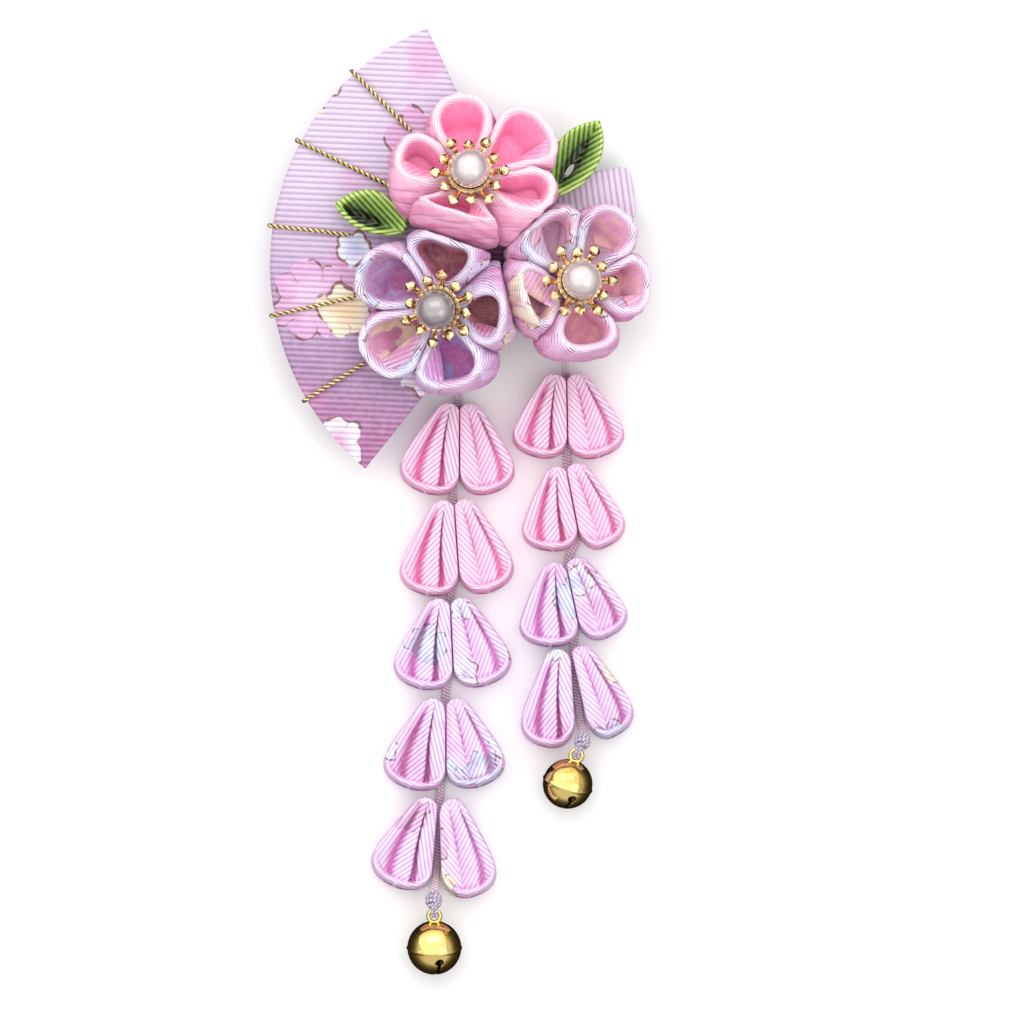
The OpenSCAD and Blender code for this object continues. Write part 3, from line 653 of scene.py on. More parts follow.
def makeCamera():
    # the photograph looks straight down. Its frame is side * pixel wide at the height of the flowers.
    t = cameraTable
    middleX = (t["side"] / 2 - t["pivotX"]) * t["pixel"]
    middleY = (t["pivotY"] - t["side"] / 2) * t["pixel"]
    away = t["side"] * t["pixel"] * t["lens"] / t["sensor"]
    data = bpy.data.cameras.new("camera")
    data.lens, data.sensor_width = t["lens"], t["sensor"]
    camera = bpy.data.objects.new("camera", data)
    camera.location = (middleX * mm, middleY * mm, (away + t["sharpHeight"]) * mm)
    bpy.context.scene.collection.objects.link(camera)
    bpy.context.scene.camera = camera


studioTable = dict(
    # each light's place, width, height and power
    lights=dict(softbox=((-0.12, 0.40, 0.9), 3.4, 3.4, 23.0), window=((-0.04, 0.46, 0.76), 1.0, 0.5, 1.8),
                fill=((0.5, -0.35, 0.7), 0.5, 0.5, 0.8)),
    target=(0.0, -0.05, 0.01), world=0.68, floorHalf=4000.0, floorTone="FBFBFB", floorRough=0.9,
    sky=[(0.0, "24211E"), (0.3, "423C36"), (0.45, "746C64"), (0.55, "AEA69C"), (0.61, "E6E2DE"),
         (0.68, "FFFFFF")])


def makeSoftbox(name, place, wide, high, power):
    data = bpy.data.lights.new(name, "AREA")
    data.shape, data.size, data.size_y, data.energy = "RECTANGLE", wide, high, power
    light = bpy.data.objects.new(name, data)
    light.location = place
    x, y, z = np.array(studioTable["target"]) - np.array(place)
    light.rotation_euler = (math.atan2(math.hypot(x, y), -z), 0, math.atan2(y, x) - math.pi / 2)
    light.visible_camera = False
    bpy.context.scene.collection.objects.link(light)


def makeStudio():
    # a large softbox above, a window in it, a weak fill, and a sky that is bright only overhead
    t = studioTable
    for name, row in t["lights"].items():
        makeSoftbox(name, *row)
    world = bpy.data.worlds.new("studio")
    bpy.context.scene.world = world
    world.use_nodes = True
    n = Nodes(world.node_tree)
    rise = n.parts(n.add("TexCoord").outputs["Generated"])[2]
    background = world.node_tree.nodes["Background"]
    world.node_tree.links.new(n.ramp(n.scaled(rise, 0.5, 0.5), t["sky"]), background.inputs[0])
    background.inputs[1].default_value = t["world"]
    bpy.context.scene.view_settings.view_transform = "Standard"
    a = t["floorHalf"]
    floor = makeObject("floor", [[-a, -a, 0], [a, -a, 0], [a, a, 0], [-a, a, 0]], [[0, 1, 2, 3]])
    material, n = newMaterial("pale floor")
    floor.data.materials.append(finishMaterial(material, n, tone(t["floorTone"]), t["floorRough"], {}))
    floor.visible_glossy = False


makeCamera()
makeStudio()
print("camera and light ready")


# Cords of the strands

leftRoute = [
    [-8.4, -25.5, 10.6], [-8.4, -28.4, 9.7], [-8.5, -30.8, 7.6], [-8.5, -33, 4.8],
    [-8.4, -34.9, 2.4], [-8.3, -36.6, 1.2], [-8.1, -38.6, 0.7], [-8.2, -42, 0.7],
    [-8.6, -46, 0.7], [-9.2, -50, 0.7], [-9.4, -54, 0.7], [-9.2, -58, 0.7],
    [-8.9, -62, 0.7], [-8.9, -66, 0.7], [-9.1, -70, 0.7], [-9.9, -73.5, 0.7],
    [-10.2, -77.5, 0.7], [-10.0, -81.5, 0.7], [-10.1, -85.5, 0.7], [-10.5, -89, 0.7],
    [-10.8, -92.5, 0.7], [-11.0, -97, 0.7], [-11.1, -101, 0.7], [-11.3, -105, 0.7],
    [-11.6, -109, 0.7], [-12.0, -112.5, 0.7], [-12.2, -117, 0.7], [-12.5, -121, 0.7],
    [-12.5, -124, 0.8], [-12.6, -126, 1.9], [-12.7, -127.6, 3.6], [-12.9, -129, 4.9],
    [-13.0, -129.8, 5.4], [-13.0, -130.4, 5.8], [-13.0, -131.8, 6.2], [-13.0, -132.5, 6.4]]
rightRoute = [
    [12.0, -24.5, 11.8], [12.0, -27, 10.2], [12.0, -28.7, 7.0], [12.1, -29.8, 4.0],
    [12.2, -31, 1.9], [12.3, -32.6, 0.8], [12.3, -36, 0.7], [12.4, -40, 0.7],
    [12.5, -44, 0.7], [12.4, -48, 0.7], [12.6, -51.5, 0.7], [13.2, -55.5, 0.7],
    [14.0, -59.5, 0.7], [14.1, -62.8, 0.7], [12.6, -66.4, 0.7], [13.0, -70, 0.7],
    [13.6, -74, 0.7], [13.9, -78, 0.7], [13.8, -81, 0.7], [13.6, -84, 0.7],
    [13.9, -88, 0.7], [14.3, -92, 0.7], [14.8, -95.5, 0.8], [15.1, -97.4, 1.9],
    [15.4, -98.8, 3.6], [15.5, -99.9, 4.9], [15.4, -100.5, 5.4], [15.1, -101.4, 5.9],
    [14.7, -102, 6.1]]
cordTable = dict(width=1.5, waist=0.48, sides=18, step=0.35)
knotTable = dict(
    # the knot sits round one of the path's last points, and its way is that between two others
    at=-5, wayFrom=-13, wayTo=-3, length=2.7, samples=90, base=0.66, swell=0.46, sharp=0.8, turns=3,
    start=0.6, flat=1.15, thread=0.36, sides=10, eyeLong=1.25, eyeHigh=0.82, eyeThread=0.3, eyeApart=0.3,
    eyeSamples=36, eyeSides=8, eyes=dict(
        # where the wire of the bell's loop runs, and the way from there to the knot
        left_cord=((-12.9, -132.95, 6.85), (0, 1, 0)), right_cord=((14.45, -102.62, 6.3), (0.292, 0.956, 0))))


def makeKnot(name, path, eye):
    # two windings of opposite hand round the cord near its end, each a helix whose radius swells in the
    # middle, r(t) = base + swell sin(pi t)^sharp, and an eye of doubled thread, an ellipse round the wire
    # of the bell's loop
    t = knotTable
    middle, way = path[t["at"]], unit(path[t["wayTo"]] - path[t["wayFrom"]])
    u = unit(axisZ - way * way[2])
    v = np.cross(way, u)
    part = np.linspace(0, 1, t["samples"])
    r = t["base"] + t["swell"] * np.sin(np.pi * part) ** t["sharp"]
    along = (part - 0.5) * t["length"]
    parts = []
    for hand in (-1, 1):
        a = 2 * np.pi * t["turns"] * part * hand + t["start"]
        line = middle + along[:, None] * way + r[:, None] * around(a, u, t["flat"] * v)
        parts.append(tubeMesh(sweptRings(line, t["thread"], t["sides"], side=way)))
    wire, toKnot = np.array(eye)
    across = unit(np.cross(toKnot, axisZ))
    for shift in (-t["eyeApart"], t["eyeApart"]):
        oval = around(circle(t["eyeSamples"]), t["eyeLong"] * toKnot, t["eyeHigh"] * axisZ)
        line = wire + shift * across + oval
        section = around(circle(t["eyeSides"]), unit(line - line.mean(0)), across)
        parts.append(tubeMesh(line[:, None] + t["eyeThread"] * section, capped=False))
    knot = makeObject(name, *joined(parts))
    knot.data.materials.append(shadedKnotThread)
    return knot


def makeStrandCord(name, route):
    # two threads that lie side by side along the route
    t = cordTable
    path, s = evenly(np.array(route), t["step"])
    rings = sweptRings(path, t["width"] / 2, t["sides"], np.pi / 2, t["waist"])
    cord = dress(name, tubeMesh(rings), "cord", lilacThread)
    knot = makeKnot(name + "_knot", path, knotTable["eyes"][name])


makeStrandCord("left_cord", leftRoute)
makeStrandCord("right_cord", rightRoute)
print("strand cords made")


# Cups: the folded petals of the flowers, and the leaves

cupTable = dict(
    samples=200, gap=0.15, start=2.6, rimStart=4.0, belly=0.28, rimSharp=(0.55, 0.0), footSharp=(0.3, -0.3),
    bulge=1.05, fuller=1.2, footIn=1.2, lip=1.7, lipRise=0.1, crest=0.9, lipHigh=0.75, bellyIn=2.4,
    floorShare=0.45, floorIn=2.7, middleShare=0.04, middleLow=0.3, foldShare=0.85,
    steps=(2, 7, 6, 6, 6, 8, 6, 5), zones=(0.0, 0.02, 0.2, 0.4, 0.5, 0.6, 0.78, 0.95, 1.0), wave=0.2,
    soft=13, ribPitch=0.62, ribHigh=0.045, ribTurns=21, ribLean=12, straightFrom=0.61, ribWalls=(0.3, 0.45),
    ribShow=((0, 0.1, 0.3, 0.42, 0.5, 0.62, 0.8, 1.0), (0.0, 0.4, 0.5, 1.0, 1.0, 0.5, 0.2, 0.0)),
    creaseShow=((0, 0.1, 0.3, 0.44, 0.5), (0.0, 0.7, 1.0, 0.5, 0.0)), creaseSlant=0.3, creases=9,
    looseTurns=3, looseMean=0.6, sways=((3, 0.6), (5, 0.4)), printScale=1.3, printOut=0.9, printIn=-0.3)
innerTable = dict(
    rows=14, rise=0.4, sharp=0.7, ribPitch=0.85, ribHigh=0.05, thick=0.4, zone=0.58, zoneMore=0.06)


def pointedSine(angles, power):
    # sin t * |sin t|^power: pointed where it crosses zero, or blunt if the power is negative
    s = np.sin(angles)
    return s * np.maximum(np.abs(s), faint) ** power


def outlineRing(end, half, heights, sharp):
    # x from the start to the end as (1 + cos t + belly sin^2 t) / 2, y = half sin t |sin t|^power, z linear
    # in x. The power goes from sharp[0] at the start to sharp[1] at the end.
    start = cupTable["start"]
    t = circle(cupTable["samples"])
    c = np.cos(t)
    part = (1 + c + cupTable["belly"] * np.sin(t) ** 2) / 2
    power = sharp[0] * (1 - c) / 2 + sharp[1] * (1 + c) / 2
    high = heights[0] + (heights[1] - heights[0]) * part
    return stacked(start + (end - start) * part, half * pointedSine(t, power), high)


def printMap(points, shift, scale=1.0):
    # the place seen from above, in centimetres, as the print is
    return wrapped(points[..., :2] / mmPerCm * scale + shift)


def anyShift():
    # a random part of the print
    return rng.uniform(-printReach, printReach, 2)


def direction(degrees):
    return np.array([math.cos(math.radians(degrees)), math.sin(math.radians(degrees))])


def heldBack(points, normal, offset):
    # points past the upright plane p.n = offset are put back on it
    out = np.array(points)
    past = np.maximum(0, out[:, :2] @ normal - offset)
    out[:, :2] -= past[:, None] * normal
    return out


def heldBetween(points, lines, margin):
    for line, quarter in zip(lines, (-90, 90)):
        points = heldBack(points, direction(line + quarter), -margin)
    return points


def drawnIn(points, amount, lift=0.0, most=0.7):
    # each point moves towards the middle of its ring, by a share of the way at most, and up by the lift
    middle = points.mean(0)
    away = np.linalg.norm(middle - points, axis=1, keepdims=True)
    return points + (middle - points) * np.minimum(most, amount / away) + lift


def rounded(ring, reach):
    # mean over the neighbours within the reach, which rounds a ring's corners
    return sum(np.roll(ring, k, 0) for k in range(-reach, reach + 1)) / (2 * reach + 1)


def sharedLines(rows, i, column):
    # directions half way to the next petal and to the last one
    own = rows[i][column]
    others = (rows[(i + 1) % len(rows)][column], rows[i - 1][column])
    return [own + ((other - own + 180) % 360 - 180) / 2 for other in others]


def cupOutside(rows, i):
    # foot on the ground, edge of the rim, and two bellies between them, widened from the rim's middle
    t = cupTable
    way, end, half, high, footWay, footEnd, footHalf = rows[i]
    margin = t["gap"] / 2
    heights = (t["rimStart"] - t["lipHigh"], high - t["lipHigh"])
    rimLines, footLines = np.array(sharedLines(rows, i, 0)), np.array(sharedLines(rows, i, 4))
    edge = heldBetween(turned(outlineRing(end, half, heights, t["rimSharp"]), way), rimLines, margin)
    base = turned(outlineRing(footEnd, footHalf, (0, 0), t["footSharp"]), footWay)
    base = heldBetween(base, footLines, margin)
    middle = edge.mean(0)[:2]
    bellies = []
    for bulge in (t["fuller"], t["bulge"]):
        belly = (base + edge) / 2
        belly[:, :2] = middle + (belly[:, :2] - middle) * bulge
        bellies.append(heldBetween(belly, (rimLines + footLines) / 2, margin))
    return base, bellies[0], edge, bellies[1]


def cupGrid(outside, up):
    # smooth skin through foot, belly, edge, crest of the lip, inner lip, inner belly and floor, and the
    # ring of the inner lip that a fold hangs from
    t = cupTable
    base, full, edge, belly = outside
    a = circle(t["samples"])
    sway = t["wave"] * sum(np.sin(turns * a + rng.uniform(0, 6)) * share for turns, share in t["sways"])
    edge = edge + sway[:, None] * up
    floor = drawnIn(base + (belly - base) * t["floorShare"], t["floorIn"])
    crest = rounded(drawnIn(edge, t["crest"], up * t["lipHigh"]), t["soft"] // 2)
    inner = rounded(drawnIn(edge, t["lip"], up * t["lipRise"]), t["soft"])
    middle = floor.mean(0) + (floor - floor.mean(0)) * t["middleShare"] - t["middleLow"] * up
    innerBelly = rounded(drawnIn(belly, t["bellyIn"]), t["soft"])
    keys = [drawnIn(base, t["footIn"]), base, full, edge, crest, inner, innerBelly, floor, middle]
    grid = splined(keys, t["steps"])
    # the zone picks the colour: darker low on the outer wall and deep in the hollow, painted shade
    zone = np.interp(np.arange(len(grid)), np.cumsum((0,) + t["steps"]), t["zones"])
    return grid, zone, rounded(drawnIn(edge, t["lip"] * t["foldShare"], up * t["lipRise"]), t["soft"])


def ribbedCup(grid, zone, innerAngle, plan, ribbed, creased):
    # ribs that run nearly along the rim, as on a folded ribbon: phase = distance from the crest down the
    # wall / pitch + turns * the way round, straight inside, and the surface moves along its normal by high
    # * cos(2 pi phase). Loose creases stand on the wall: creased * cos(2 pi (count * the way round + slant
    # * distance)).
    t = cupTable
    n = grid.shape[1]
    down = distance(grid)
    crest = np.argmin(np.abs(zone - 0.5))
    down = down - down[crest]
    phase = wrapped(down) / t["ribPitch"] + t["ribTurns"] * np.linspace(0, 1, n + 1)
    straight = wrapped(lineCount(grid[..., 0], grid[..., 1], innerAngle, t["ribPitch"]))
    phase = np.where(zone[:, None] > t["straightFrom"], straight, phase)
    strength = t["ribHigh"] * np.interp(zone, *t["ribShow"]) * np.interp(zone, t["ribWalls"], [ribbed, 1.0])
    turn = np.linspace(0, 1, n, endpoint=False)
    loose = creased * np.interp(zone, *t["creaseShow"])[:, None]
    swell = np.sin(2 * np.pi * (t["looseTurns"] * turn + rng.uniform(0, 1)))
    loose = loose * (t["looseMean"] + (1 - t["looseMean"]) * swell)
    crease = loose * ripple(t["creases"] * turn + t["creaseSlant"] * down + rng.uniform(0, 1))
    moved = grid + outward(grid) * (crease + strength[:, None] * ripple(phase[:, :-1]))[..., None]
    rim = grid[crest]
    across = unit(grid[..., :2] - rim[:, :2].mean(0))
    depth = (rim[:, 2] - grid[..., 2]) * np.where(zone < 0.5, t["printOut"], t["printIn"])[:, None]
    unfolded = grid[..., :2] + across * depth[..., None]
    return moved, {"ribs": stacked(phase, zone[:, None]), "print": printMap(unfolded, plan, t["printScale"])}


def innerFold(ring, up, start, end, deep, ribAngle, plan):
    # the inner layer of the ribbon, a ruled surface from a crease up to a part of the inner lip:
    # s(u, v) = crease(u) + (lip(u) - crease(u)) v + rise sin(pi v) sin(pi u), and the crease, straight
    # from above, sinks by deep sin(pi u)^sharp
    t = innerTable
    n = len(ring)
    lip = ring[np.arange(int(start * n), int(end * n) + 1) % n]
    u = np.linspace(0, 1, len(lip))[:, None]
    bow = np.sin(np.pi * u)
    crease = lip[0] + (lip[-1] - lip[0]) * u - deep * bow ** t["sharp"] * up
    v = np.linspace(0, 1, t["rows"])[None, :, None]
    top = crease[:, None] + (lip - crease)[:, None] * v + t["rise"] * np.sin(np.pi * v) * bow[:, None] * up
    phase = lineCount(top[..., 0], top[..., 1], ribAngle, t["ribPitch"])
    top = top + (t["ribHigh"] * ripple(phase) * bow)[..., None] * up
    # painted shade: the zone, and with it the colour, deepens towards the middle of the crease
    zone = t["zone"] + t["zoneMore"] * bow * (1 - v[..., 0])
    grid = thereAndBack(top, top - t["thick"] * up)
    ribs = stacked(thereAndBack(phase, phase), thereAndBack(zone, zone))
    return grid, {"ribs": wrapped(ribs), "print": printMap(grid, plan)}


flowerTable = {
    # place of the foot, tilt and the direction it leans to, turn of the stamens, how far the ribs and the
    # creases of its walls show, directions of the planes shared with the other flowers, the petals with an
    # inner fold (start and end of the lip it hangs from, depth, direction of its ribs), the petals'
    # ribbons, and its petals: direction, rim's end, half width and height, then the foot's direction, end
    # and half width
    "pink": dict(
        at=(-6.3, 4.8, 13.5), tilt=20, lean=85, stamenTurn=2, ribbed=0.4, creased=0.22, walls=(251, -46.5),
        folds={1: (0.58, 0.93, 1.2, 8), 2: (0.54, 0.95, 1.8, -35), 3: (0.07, 0.42, 1.2, 70),
               4: (0.05, 0.45, 1.4, 20)},
        slot="ribbon_pink", ribbons=[pinkRibbon] * 5, petals=[
            (97, 16.2, 5.8, 7.2, 99, 12.0, 5.6), (34, 18.0, 7.2, 7.4, 34, 13.0, 6.4),
            (-16, 16.8, 5.0, 7.6, -32, 15.4, 7.2), (-108, 9.4, 8.0, 7.8, -106, 12.4, 9.0),
            (162, 14.6, 5.2, 7.2, 180, 14.4, 7.2)]),
    "left": dict(
        at=(-10.6, -17.6, 13.0), tilt=16, lean=215, stamenTurn=21, ribbed=0.9, creased=0.14, walls=(71, 13),
        folds={1: (0.6, 0.92, 1.0, 60), 2: (0.6, 0.95, 1.3, 100), 3: (0.05, 0.46, 1.5, 22)},
        slot="ribbon_print",
        ribbons=[leftRibbons[kind] for kind in ("deep", "deep", "violet", "dusty", "mauve")], petals=[
            (86, 14.9, 6.9, 7.4, 84, 13.2, 7.2), (-9, 13.4, 5.8, 7.4, 2, 13.8, 8.0),
            (-81, 15.6, 6.8, 7.4, -78, 16.2, 7.6), (-143, 17.6, 6.4, 7.2, -143, 12.8, 5.8),
            (152, 17.2, 6.3, 7.2, 152, 12.8, 5.8)]),
    "right": dict(
        at=(12.6, -14.2, 11.4), tilt=18, lean=20, stamenTurn=2, ribbed=0.7, creased=0.16,
        walls=(133.5, 193),
        folds={0: (0.05, 0.42, 1.6, 80), 2: (0.62, 0.93, 1.0, 30), 4: (0.36, 0.95, 1.0, 60)},
        slot="ribbon_print", ribbons=[rightPrint] * 5, petals=[
            (117, 14.6, 6.7, 7.4, 127, 14.0, 7.2), (56, 16.4, 5.7, 7.4, 58, 12.6, 5.6),
            (-1, 14.4, 6.0, 7.4, 0, 11.6, 5.8), (-80, 13.6, 6.2, 7.4, -88, 14.2, 7.6),
            (-162, 11.9, 6.6, 7.4, -164, 12.8, 7.6)])}
clusterMiddle = np.array([-0.8, -8.6])


def placed(points, flower):
    return np.array(flower["at"]) + tiltedTo(points, flower["tilt"], flower["lean"])


def pressedBack(points, flower):
    # held behind the upright planes through the middle of the cluster
    for wall in flower["walls"]:
        n = direction(wall)
        points = heldBack(points, n, clusterMiddle @ n - cupTable["gap"] / 2)
    return points


def makeFlowerPetal(name, flower, i):
    outside = [pressedBack(placed(ring, flower), flower) for ring in cupOutside(flower["petals"], i)]
    up = tiltedTo(axisZ, flower["tilt"], flower["lean"])
    grid, zone, lip = cupGrid(outside, up)
    plan = anyShift()
    innerAngle = flower["petals"][i][0] + cupTable["ribLean"]
    parts = [skinMesh(*ribbedCup(grid, zone, innerAngle, plan, flower["ribbed"], flower["creased"]))]
    if i in flower["folds"]:
        parts.append(skinMesh(*innerFold(lip, up, *flower["folds"][i], plan)))
    dress(name, joined(parts), flower["slot"], flower["ribbons"][i])


for key, flower in flowerTable.items():
    for i in range(5):
        makeFlowerPetal(f"{key}_petal_{i + 1}", flower, i)
print("flower petals made")

leafTable = {
    # foot's place, direction, length, half widths of the edge on the two sides, then the slot between the
    # folds: its middle along and across, half length and half width, and the same for the hole through it
    # or None
    "leaf_left": dict(
        at=(-18.1, -3.4, 9.6), way=161, length=14.4, half=(3.0, 4.9), slot=(9.0, 0.75, 4.6, 1.5), hole=None),
    "leaf_right": dict(
        at=(9.3, 3.2, 8.0), way=56.5, length=16.8, half=(4.3, 4.4), slot=(7.6, -0.2, 5.2, 1.4),
        hole=(5.9, -0.4, 1.7, 0.55))}
leafShape = dict(
    # the leaf's rings from the foot over the crest as height and shrink, then the slot's as height, share
    # of its length and of its width, and its end: closed, or the heights of the hole
    samples=200, rings=((0.0, 2.0), (0.0, 0.9), (2.0, 0.1), (3.6, 0.0), (4.3, 0.5), (3.7, 1.3)),
    slots=((2.0, 1.0, 1.0), (1.2, 0.85, 0.75)), closed=((0.8, 0.6, 0.4), (0.7, 0.4, 0.2)),
    holeHigh=(0.6, 0.0), steps=(2, 5, 5, 4, 5, 14, 6, 6, 2),
    zones=(0.0, 0.02, 0.2, 0.42, 0.5, 0.6, 0.84, 0.96, 1.0, 1.0), blunt=0.1, pointed=0.75, tipIn=2.2,
    sideIn=2.0, ribAngle=28, ribPitch=0.9, ribHigh=0.08,
    ribShow=((0, 0.1, 0.4, 0.7, 0.9, 1.0), (0, 1, 1, 1, 0.4, 0)))


def leafRing(length, half, high, shrink=0.0):
    # pointed outline: x from 0 to the length as (1 - cos t) / 2, y = half * sin t * |sin t|^power, with the
    # power rising from the round foot to the pointed tip. Shrink moves it inwards.
    shape = leafShape
    t = circle(shape["samples"])
    along = (1 - np.cos(t)) / 2
    wide = np.where(np.sin(t) > 0, half[0], half[1])
    y = wide * pointedSine(t, shape["blunt"] + shape["pointed"] * along ** 2)
    middle = np.array([length * 0.5, 0, high])
    tipReach = 1 - shape["tipIn"] * shrink / length
    sideReach = 1 - shape["sideIn"] * shrink / (half[0] + half[1])
    return middle + (stacked(length * along, y, high) - middle) * np.array([tipReach, sideReach, 1.0])


def slotRing(slot, high, longShare=1.0, wideShare=1.0):
    # pointed slot of the given half length and half width round its middle
    middle, across, halfLong, halfWide = slot
    halfLong, halfWide = halfLong * longShare, halfWide * wideShare
    return leafRing(2 * halfLong, (halfWide, halfWide), high) + np.array([middle - halfLong, across, 0])


def makeLeaf(name, leaf):
    # skin through foot, belly, edge, crest, and down the broad inner slope into the slot. Ribs fan out from
    # the axis: phase = (|y - slot| cos a - x sin a) / pitch
    t = leafShape
    slot = leaf["slot"]
    keys = [leafRing(leaf["length"], leaf["half"], *row) for row in t["rings"]]
    keys += [slotRing(slot, *row) for row in t["slots"]]
    if leaf["hole"]:
        keys += [slotRing(leaf["hole"], high) for high in t["holeHigh"]]
    else:
        keys += [slotRing(slot, *row) for row in t["closed"]]
    grid = splined(keys, t["steps"])
    # the zone picks the colour: darker on the foot and nearly black towards the slot, painted shade
    zone = np.interp(np.arange(len(grid)), np.cumsum((0,) + t["steps"]), t["zones"])
    phase = lineCount(-grid[..., 0], np.abs(grid[..., 1] - slot[1]), -t["ribAngle"], t["ribPitch"])
    strength = t["ribHigh"] * np.interp(zone, *t["ribShow"])
    grid = grid + outward(grid) * (strength[:, None] * ripple(phase))[..., None]
    grid = turned(grid, leaf["way"]) + np.array(leaf["at"])
    mesh = skinMesh(grid, {"ribs": wrapped(stacked(phase, zone[:, None]))}, capped=not leaf["hole"])
    dress(name, mesh, "ribbon_green", greenRibbon)


for name, leaf in leafTable.items():
    makeLeaf(name, leaf)
print("leaves made")


# Stamens and pearls

stamenTable = dict(
    under=4.9, high=0.8, outer=3.3, inner=2.4, longRay=6.8, shortRay=5.7, rise=2.0, rays=12, raySides=8,
    # the cup's wall as radius and height, out and back in, its flutes, and the rows of faces inside it
    cup=((0.3, 0.05), (2.6, 0.0), (3.4, 0.4), (3.95, 1.2), (4.3, 2.0), (4.42, 2.4), (4.2, 2.62), (3.72, 2.5),
         (3.2, 1.2), (2.5, 0.6), (0.3, 0.4)),
    flutes=24, fluteSides=6, fluteDeep=0.02, fluteHigh=0.08, wallRows=(3, 7), lipRows=(5, 8),
    innerRows=(7, 10),
    # a ray's rings: places from its start and from its end, half widths and half heights, and the neck's row
    rayStart=(0.5, 0.7), rayEnd=(-1.15, -0.85, -0.4, 0.1, 0.55, 0.95), neckRow=3,
    rayWide=(0.3, 0.6, 0.50, 0.60, 0.96, 1.16, 1.1, 0.66, 0.08),
    rayHigh=(0.2, 0.26, 0.26, 0.36, 0.72, 0.92, 0.88, 0.55, 0.08))
pearlShape = dict(size=7.5, end=0.02, rows=48, sides=64, dimple=0.03, dimpleWide=0.12, gap=0.1)


def stamenParts():
    # fluted cup under the pearl, and twelve flat rays, each with a faceted bead that ends in a point
    t = stamenTable
    start = (t["outer"] + t["inner"]) / 2
    slope = math.atan(t["rise"] / (t["longRay"] - start))
    cup = lathe(t["cup"], t["flutes"] * t["fluteSides"])
    flute = np.cos(t["flutes"] * circle(cup.shape[1]))
    cup[slice(*t["wallRows"]), :, :2] *= 1 + t["fluteDeep"] * flute[None, :, None]
    cup[slice(*t["lipRows"]), :, 2] += t["fluteHigh"] * flute
    parts = [cup]
    b = circle(t["raySides"], 0.5)
    wide, high = np.array(t["rayWide"])[:, None] * np.cos(b), np.array(t["rayHigh"])[:, None] * np.sin(b)
    for i in range(t["rays"]):
        run = ((t["longRay"] if i % 2 == 0 else t["shortRay"]) - start) / math.cos(slope)
        s = np.array([*t["rayStart"], run / 2, *(run + np.array(t["rayEnd"]))])[:, None]
        x = s * math.cos(slope) - high * math.sin(slope) + start
        z = s * math.sin(slope) + high * math.cos(slope) + t["high"] / 2
        parts.append(turned(stacked(x, wide, z), 360 / t["rays"] * i))
    return parts


def makeStamens(name, flower):
    t = stamenTable
    lift = t["under"] * axisZ
    parts = [placed(turned(part + lift, flower["stamenTurn"]), flower) for part in stamenParts()]
    mesh = joined([tubeMesh(part) for part in parts])
    stamens = dress(name, mesh, "gold_metal", castGold, recessShadeGold, smooth=False)
    # the cup's inner wall and the neck behind each bead are darker, painted shade in these recesses. A
    # skin's faces come row by row, then its two ends
    index = np.zeros(len(mesh[1]), int)
    first = 0
    for part, rows in zip(parts, [t["innerRows"]] + [(t["neckRow"], t["neckRow"] + 1)] * t["rays"]):
        count, sides = part.shape[:2]
        index[first + rows[0] * sides:first + rows[1] * sides] = 1
        first += (count + 1) * sides
    stamens.data.polygons.foreach_set("material_index", index)


def makePearl(name, flower):
    # a sphere with a small dimple at its drilled ends:
    # radius = r (1 - dimple exp(-(angle from the end / wide)^2))
    t = pearlShape
    r = t["size"] / 2
    seat = math.sqrt(r * r - stamenTable["inner"] ** 2)
    high = stamenTable["under"] + stamenTable["high"] + seat + t["gap"]
    b = np.linspace(t["end"], math.pi - t["end"], t["rows"])
    radius = r * (1 - t["dimple"] * np.exp(-(np.minimum(b, math.pi - b) / t["dimpleWide"]) ** 2))
    ball = lathe(stacked(radius * np.sin(b), -radius * np.cos(b)), t["sides"])
    # the left pearl gets the darker copy of the lustre: painted shade
    lustre = shadedPearl if name == "left_pearl" else pearlLustre
    dress(name, tubeMesh(placed(ball + high * axisZ, flower)), "pearl", lustre)


for key, flower in flowerTable.items():
    makeStamens(f"{key}_stamens", flower)
    makePearl(f"{key}_pearl", flower)
print("stamens and pearls made")


# Hanging petals

dropTable = dict(
    half=6.6, rim=5.6, tipRim=4.4, tipLow=2.7, gap=0.09, along=110, across=80, under=6, ribPitch=0.76,
    ribHigh=0.055, roundFrom=0.68, roundness=2.4, lowest=-1.1, least=0.03, narrowTo=0.06, channel=0.27,
    channelHigh=0.5, printScale=1.6, wall=0.12, slope=0.95, lipPitch=0.62, lipSlant=0.3, lipWide=0.75,
    lipFrom=0.76, lipStart=0.3, wallPower=0.9, innerMost=0.95, narrowLeast=0.15,
    # spread of the petal, spacing of its rows and columns
    spread=(0.25, 1.11, 0.92), rows=(0.999, 1.15, 0.9985), crowding=0.11,
    # rim and foot: where the tip's heights end, and how the foot rises and the outline closes below
    tipRimTo=0.45, tipLowTo=0.4, endFrom=0.9, endSteep=10, endRise=0.6, endPower=6,
    # where a form begins and ends: down the petal, across it, and away from the top of its wall
    slopeDown=(0.68, 0.95), cupDown=(0.6, 0.85), cupAway=(0.6, 1.1), cupDeep=0.6, openFrom=0.66,
    openAway=(0.3, 1.2), fadeDown=(0.6, 0.8), foldsDown=(0.0, 0.3), channelDown=(0.74, 0.92),
    channelAcross=(0.5, 0.9),
    # places across the fold, with the painted shade behind the lower lip, and where the ribs show on them
    outerZone=0.1, rimZone=0.4, rimAway=(0.5, 0.25), hollowZone=0.5, hollowDown=(0.0, 0.25),
    hollowOver=(0.3, 0.5), lipShade=0.26, lipShadeStart=(0.65, 0.9), lipShadeEnd=(1.0, 1.9),
    lipShadeDown=(0.72, 0.86), ribOver=(0.15, 0.4), ribLess=0.6, ribLessOver=(0.6, 0.9), seenLeast=0.3,
    seenOver=(0.25, 0.45))
